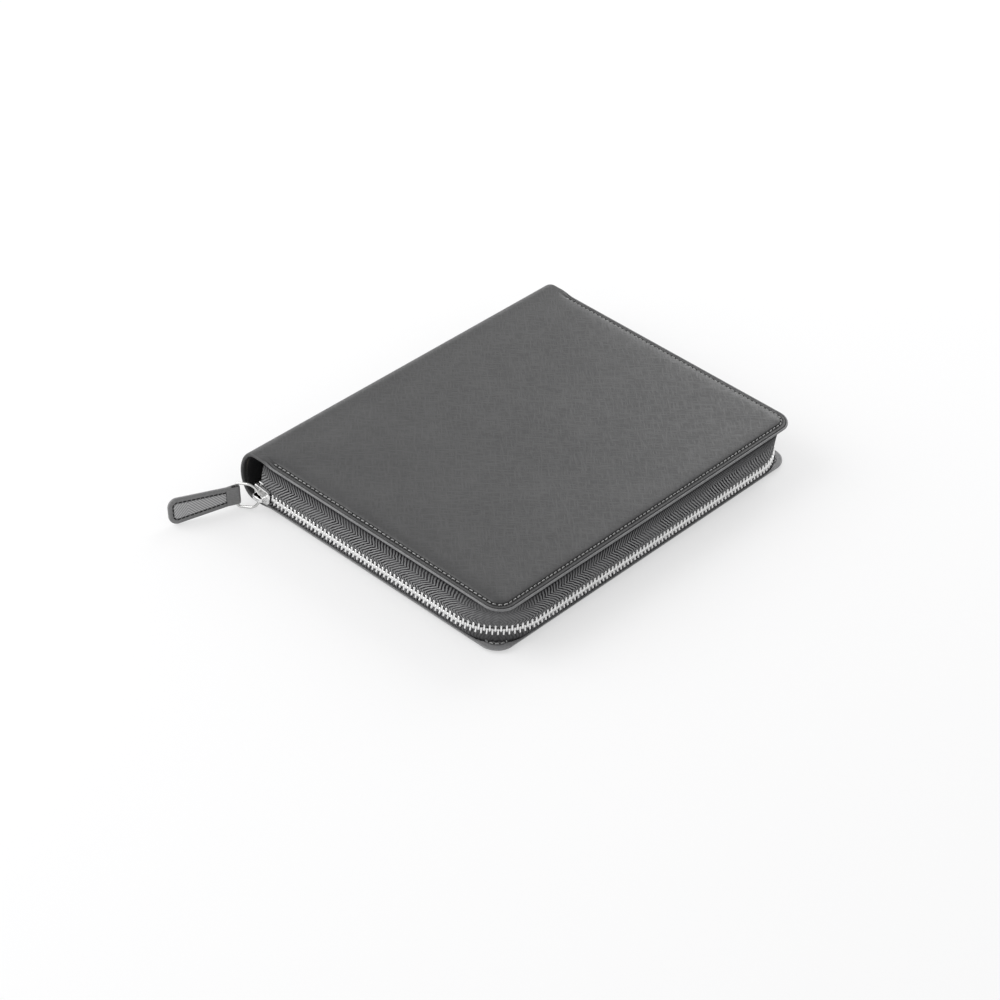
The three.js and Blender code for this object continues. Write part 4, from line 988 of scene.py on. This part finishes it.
# Pen loop: a tube of woven elastic, its rows as share of half its length and radius
penRows = [(-1.0, 4.72), (-1.0, 5.5), (-0.985, 5.6), (0.985, 5.6), (1.0, 5.5), (1.0, 4.72), (0, 4.7), (-1.0, 4.72)]
low, high = (np.array(place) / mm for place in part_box("pen_loop"))
penX, penY, penZ = (low + high) / 2
share, radius = np.array(penRows).T[:, :, None]
v = np.linspace(0, fullTurn, 65)
along = penY + share * (high - low)[1] / 2 + 0 * v
grid = joined(penX + radius * np.cos(v), along, penZ + radius * np.sin(v))
uv = joined(np.broadcast_to(v * 5.2 * mm, along.shape), along * mm)
settle(makeSheet("pen_loop_elastic", grid, elasticCloth, uv=uv, sharp=50), "front_cover", "elastic", "pen_loop")

for material, solids in ((foamStock, ("front_foam", "back_foam")),
                         (boardStock, ("front_board", "back_board", "spine_board"))):
    for node in solids:
        nodes[node].data.materials.clear()
        nodes[node].data.materials.append(material)

print("scene: studio")
studio = dict(
    horizon=1.2, zenith=0.5, foreShare=0.62, keyPower=13.0, keySize=1.3, keyPlace=(-1.0, -0.85, 0.95),
    rimPower=6.0, rimSize=0.9, rimPlace=(-0.25, 1.25, 0.7), paperWhite=1.04, paperShare=0.5, floorHalf=3,
)
floorMesh = bpy.data.meshes.new("floor")
floorCorners = [(x * studio["floorHalf"], y * studio["floorHalf"], 0) for x, y in ((-1, -1), (1, -1), (1, 1), (-1, 1))]
floorMesh.from_pydata(floorCorners, [], [(0, 1, 2, 3)])
addObject("floor", floorMesh)
floorMaterial, tree, shader = newMaterial("floorPaper", {
    "Roughness": 0.9, "Base Color": (0.90, 0.90, 0.905, 1), "Specular IOR Level": 0.1,
})
floorMesh.materials.append(floorMaterial)
# seen straight on, the paper is partly an even white, so that the shadow stays faint
seen = addNode(tree, "ShaderNodeLightPath").outputs["Is Camera Ray"]
paperGlow = addNode(tree, "ShaderNodeEmission", {"Strength": studio["paperWhite"]}).outputs[0]
paperMix = addNode(tree, "ShaderNodeMixShader", {
    0: times(tree, seen, studio["paperShare"]), 1: shader.outputs[0], 2: paperGlow,
})
connect(tree, tree.nodes["Material Output"], {"Surface": paperMix.outputs[0]})

# The room's own light: strongest at the horizon, weaker overhead and towards the fore edge
world = bpy.data.worlds.new("studio")
scene.world = world
world.use_nodes = True
tree, background = world.node_tree, world.node_tree.nodes["Background"]
background.inputs["Color"].default_value = (1, 1, 1, 1)
toward = parts(tree, addNode(tree, "ShaderNodeTexCoord").outputs["Generated"])
fromAbove = stretch(tree, toward[2], 0.25, 0.9, studio["horizon"], studio["zenith"])
fromFore = stretch(tree, toward[0], 0.1, 1.0, 1.0, studio["foreShare"])
connect(tree, background, {"Strength": times(tree, fromAbove, fromFore)})


def placeAt(item, place, *axes):
    item.matrix_world = Matrix.Translation(place) @ Matrix(joined(*axes).tolist()).to_4x4()


def addLamp(name, place, size, power):  # a square lamp that faces the origin
    lamp = bpy.data.lights.new(name, "AREA")
    lamp.energy, lamp.size, lamp.shape = power, size, "SQUARE"
    direction = -np.array(place) / np.linalg.norm(place)
    side = np.cross(direction, (0, 0, 1.0))
    side /= np.linalg.norm(side)
    placeAt(addObject(name, lamp), place, side, np.cross(side, direction), -direction)


addLamp("keyLight", studio["keyPlace"], studio["keySize"], studio["keyPower"])
addLamp("rimLight", studio["rimPlace"], studio["rimSize"], studio["rimPower"])

camera = dict(azimuth=39.734, elevation=37.883, roll=4.535, distance=1515.14, shiftX=-11.422, shiftY=-12.293,
              lens=100.2, sensor=36)
azimuth, elevation, roll = (math.radians(camera[key]) for key in ("azimuth", "elevation", "roll"))
back = np.array([math.sin(azimuth) * math.cos(elevation), -math.cos(azimuth) * math.cos(elevation),
                 math.sin(elevation)])
level = np.array([math.cos(azimuth), math.sin(azimuth), 0])
right = math.cos(roll) * level + math.sin(roll) * np.cross(back, level)
upward = np.cross(back, right)
eye = (back * camera["distance"] + right * camera["shiftX"] + upward * camera["shiftY"]) * mm
cameraData = bpy.data.cameras.new("camera")
cameraData.lens, cameraData.sensor_width = camera["lens"], camera["sensor"]
cameraData.clip_start, cameraData.clip_end = 0.05, 20
scene.camera = addObject("camera", cameraData)
placeAt(scene.camera, eye, right, upward, back)
scene.view_settings.view_transform = "Standard"

print("scene: done")
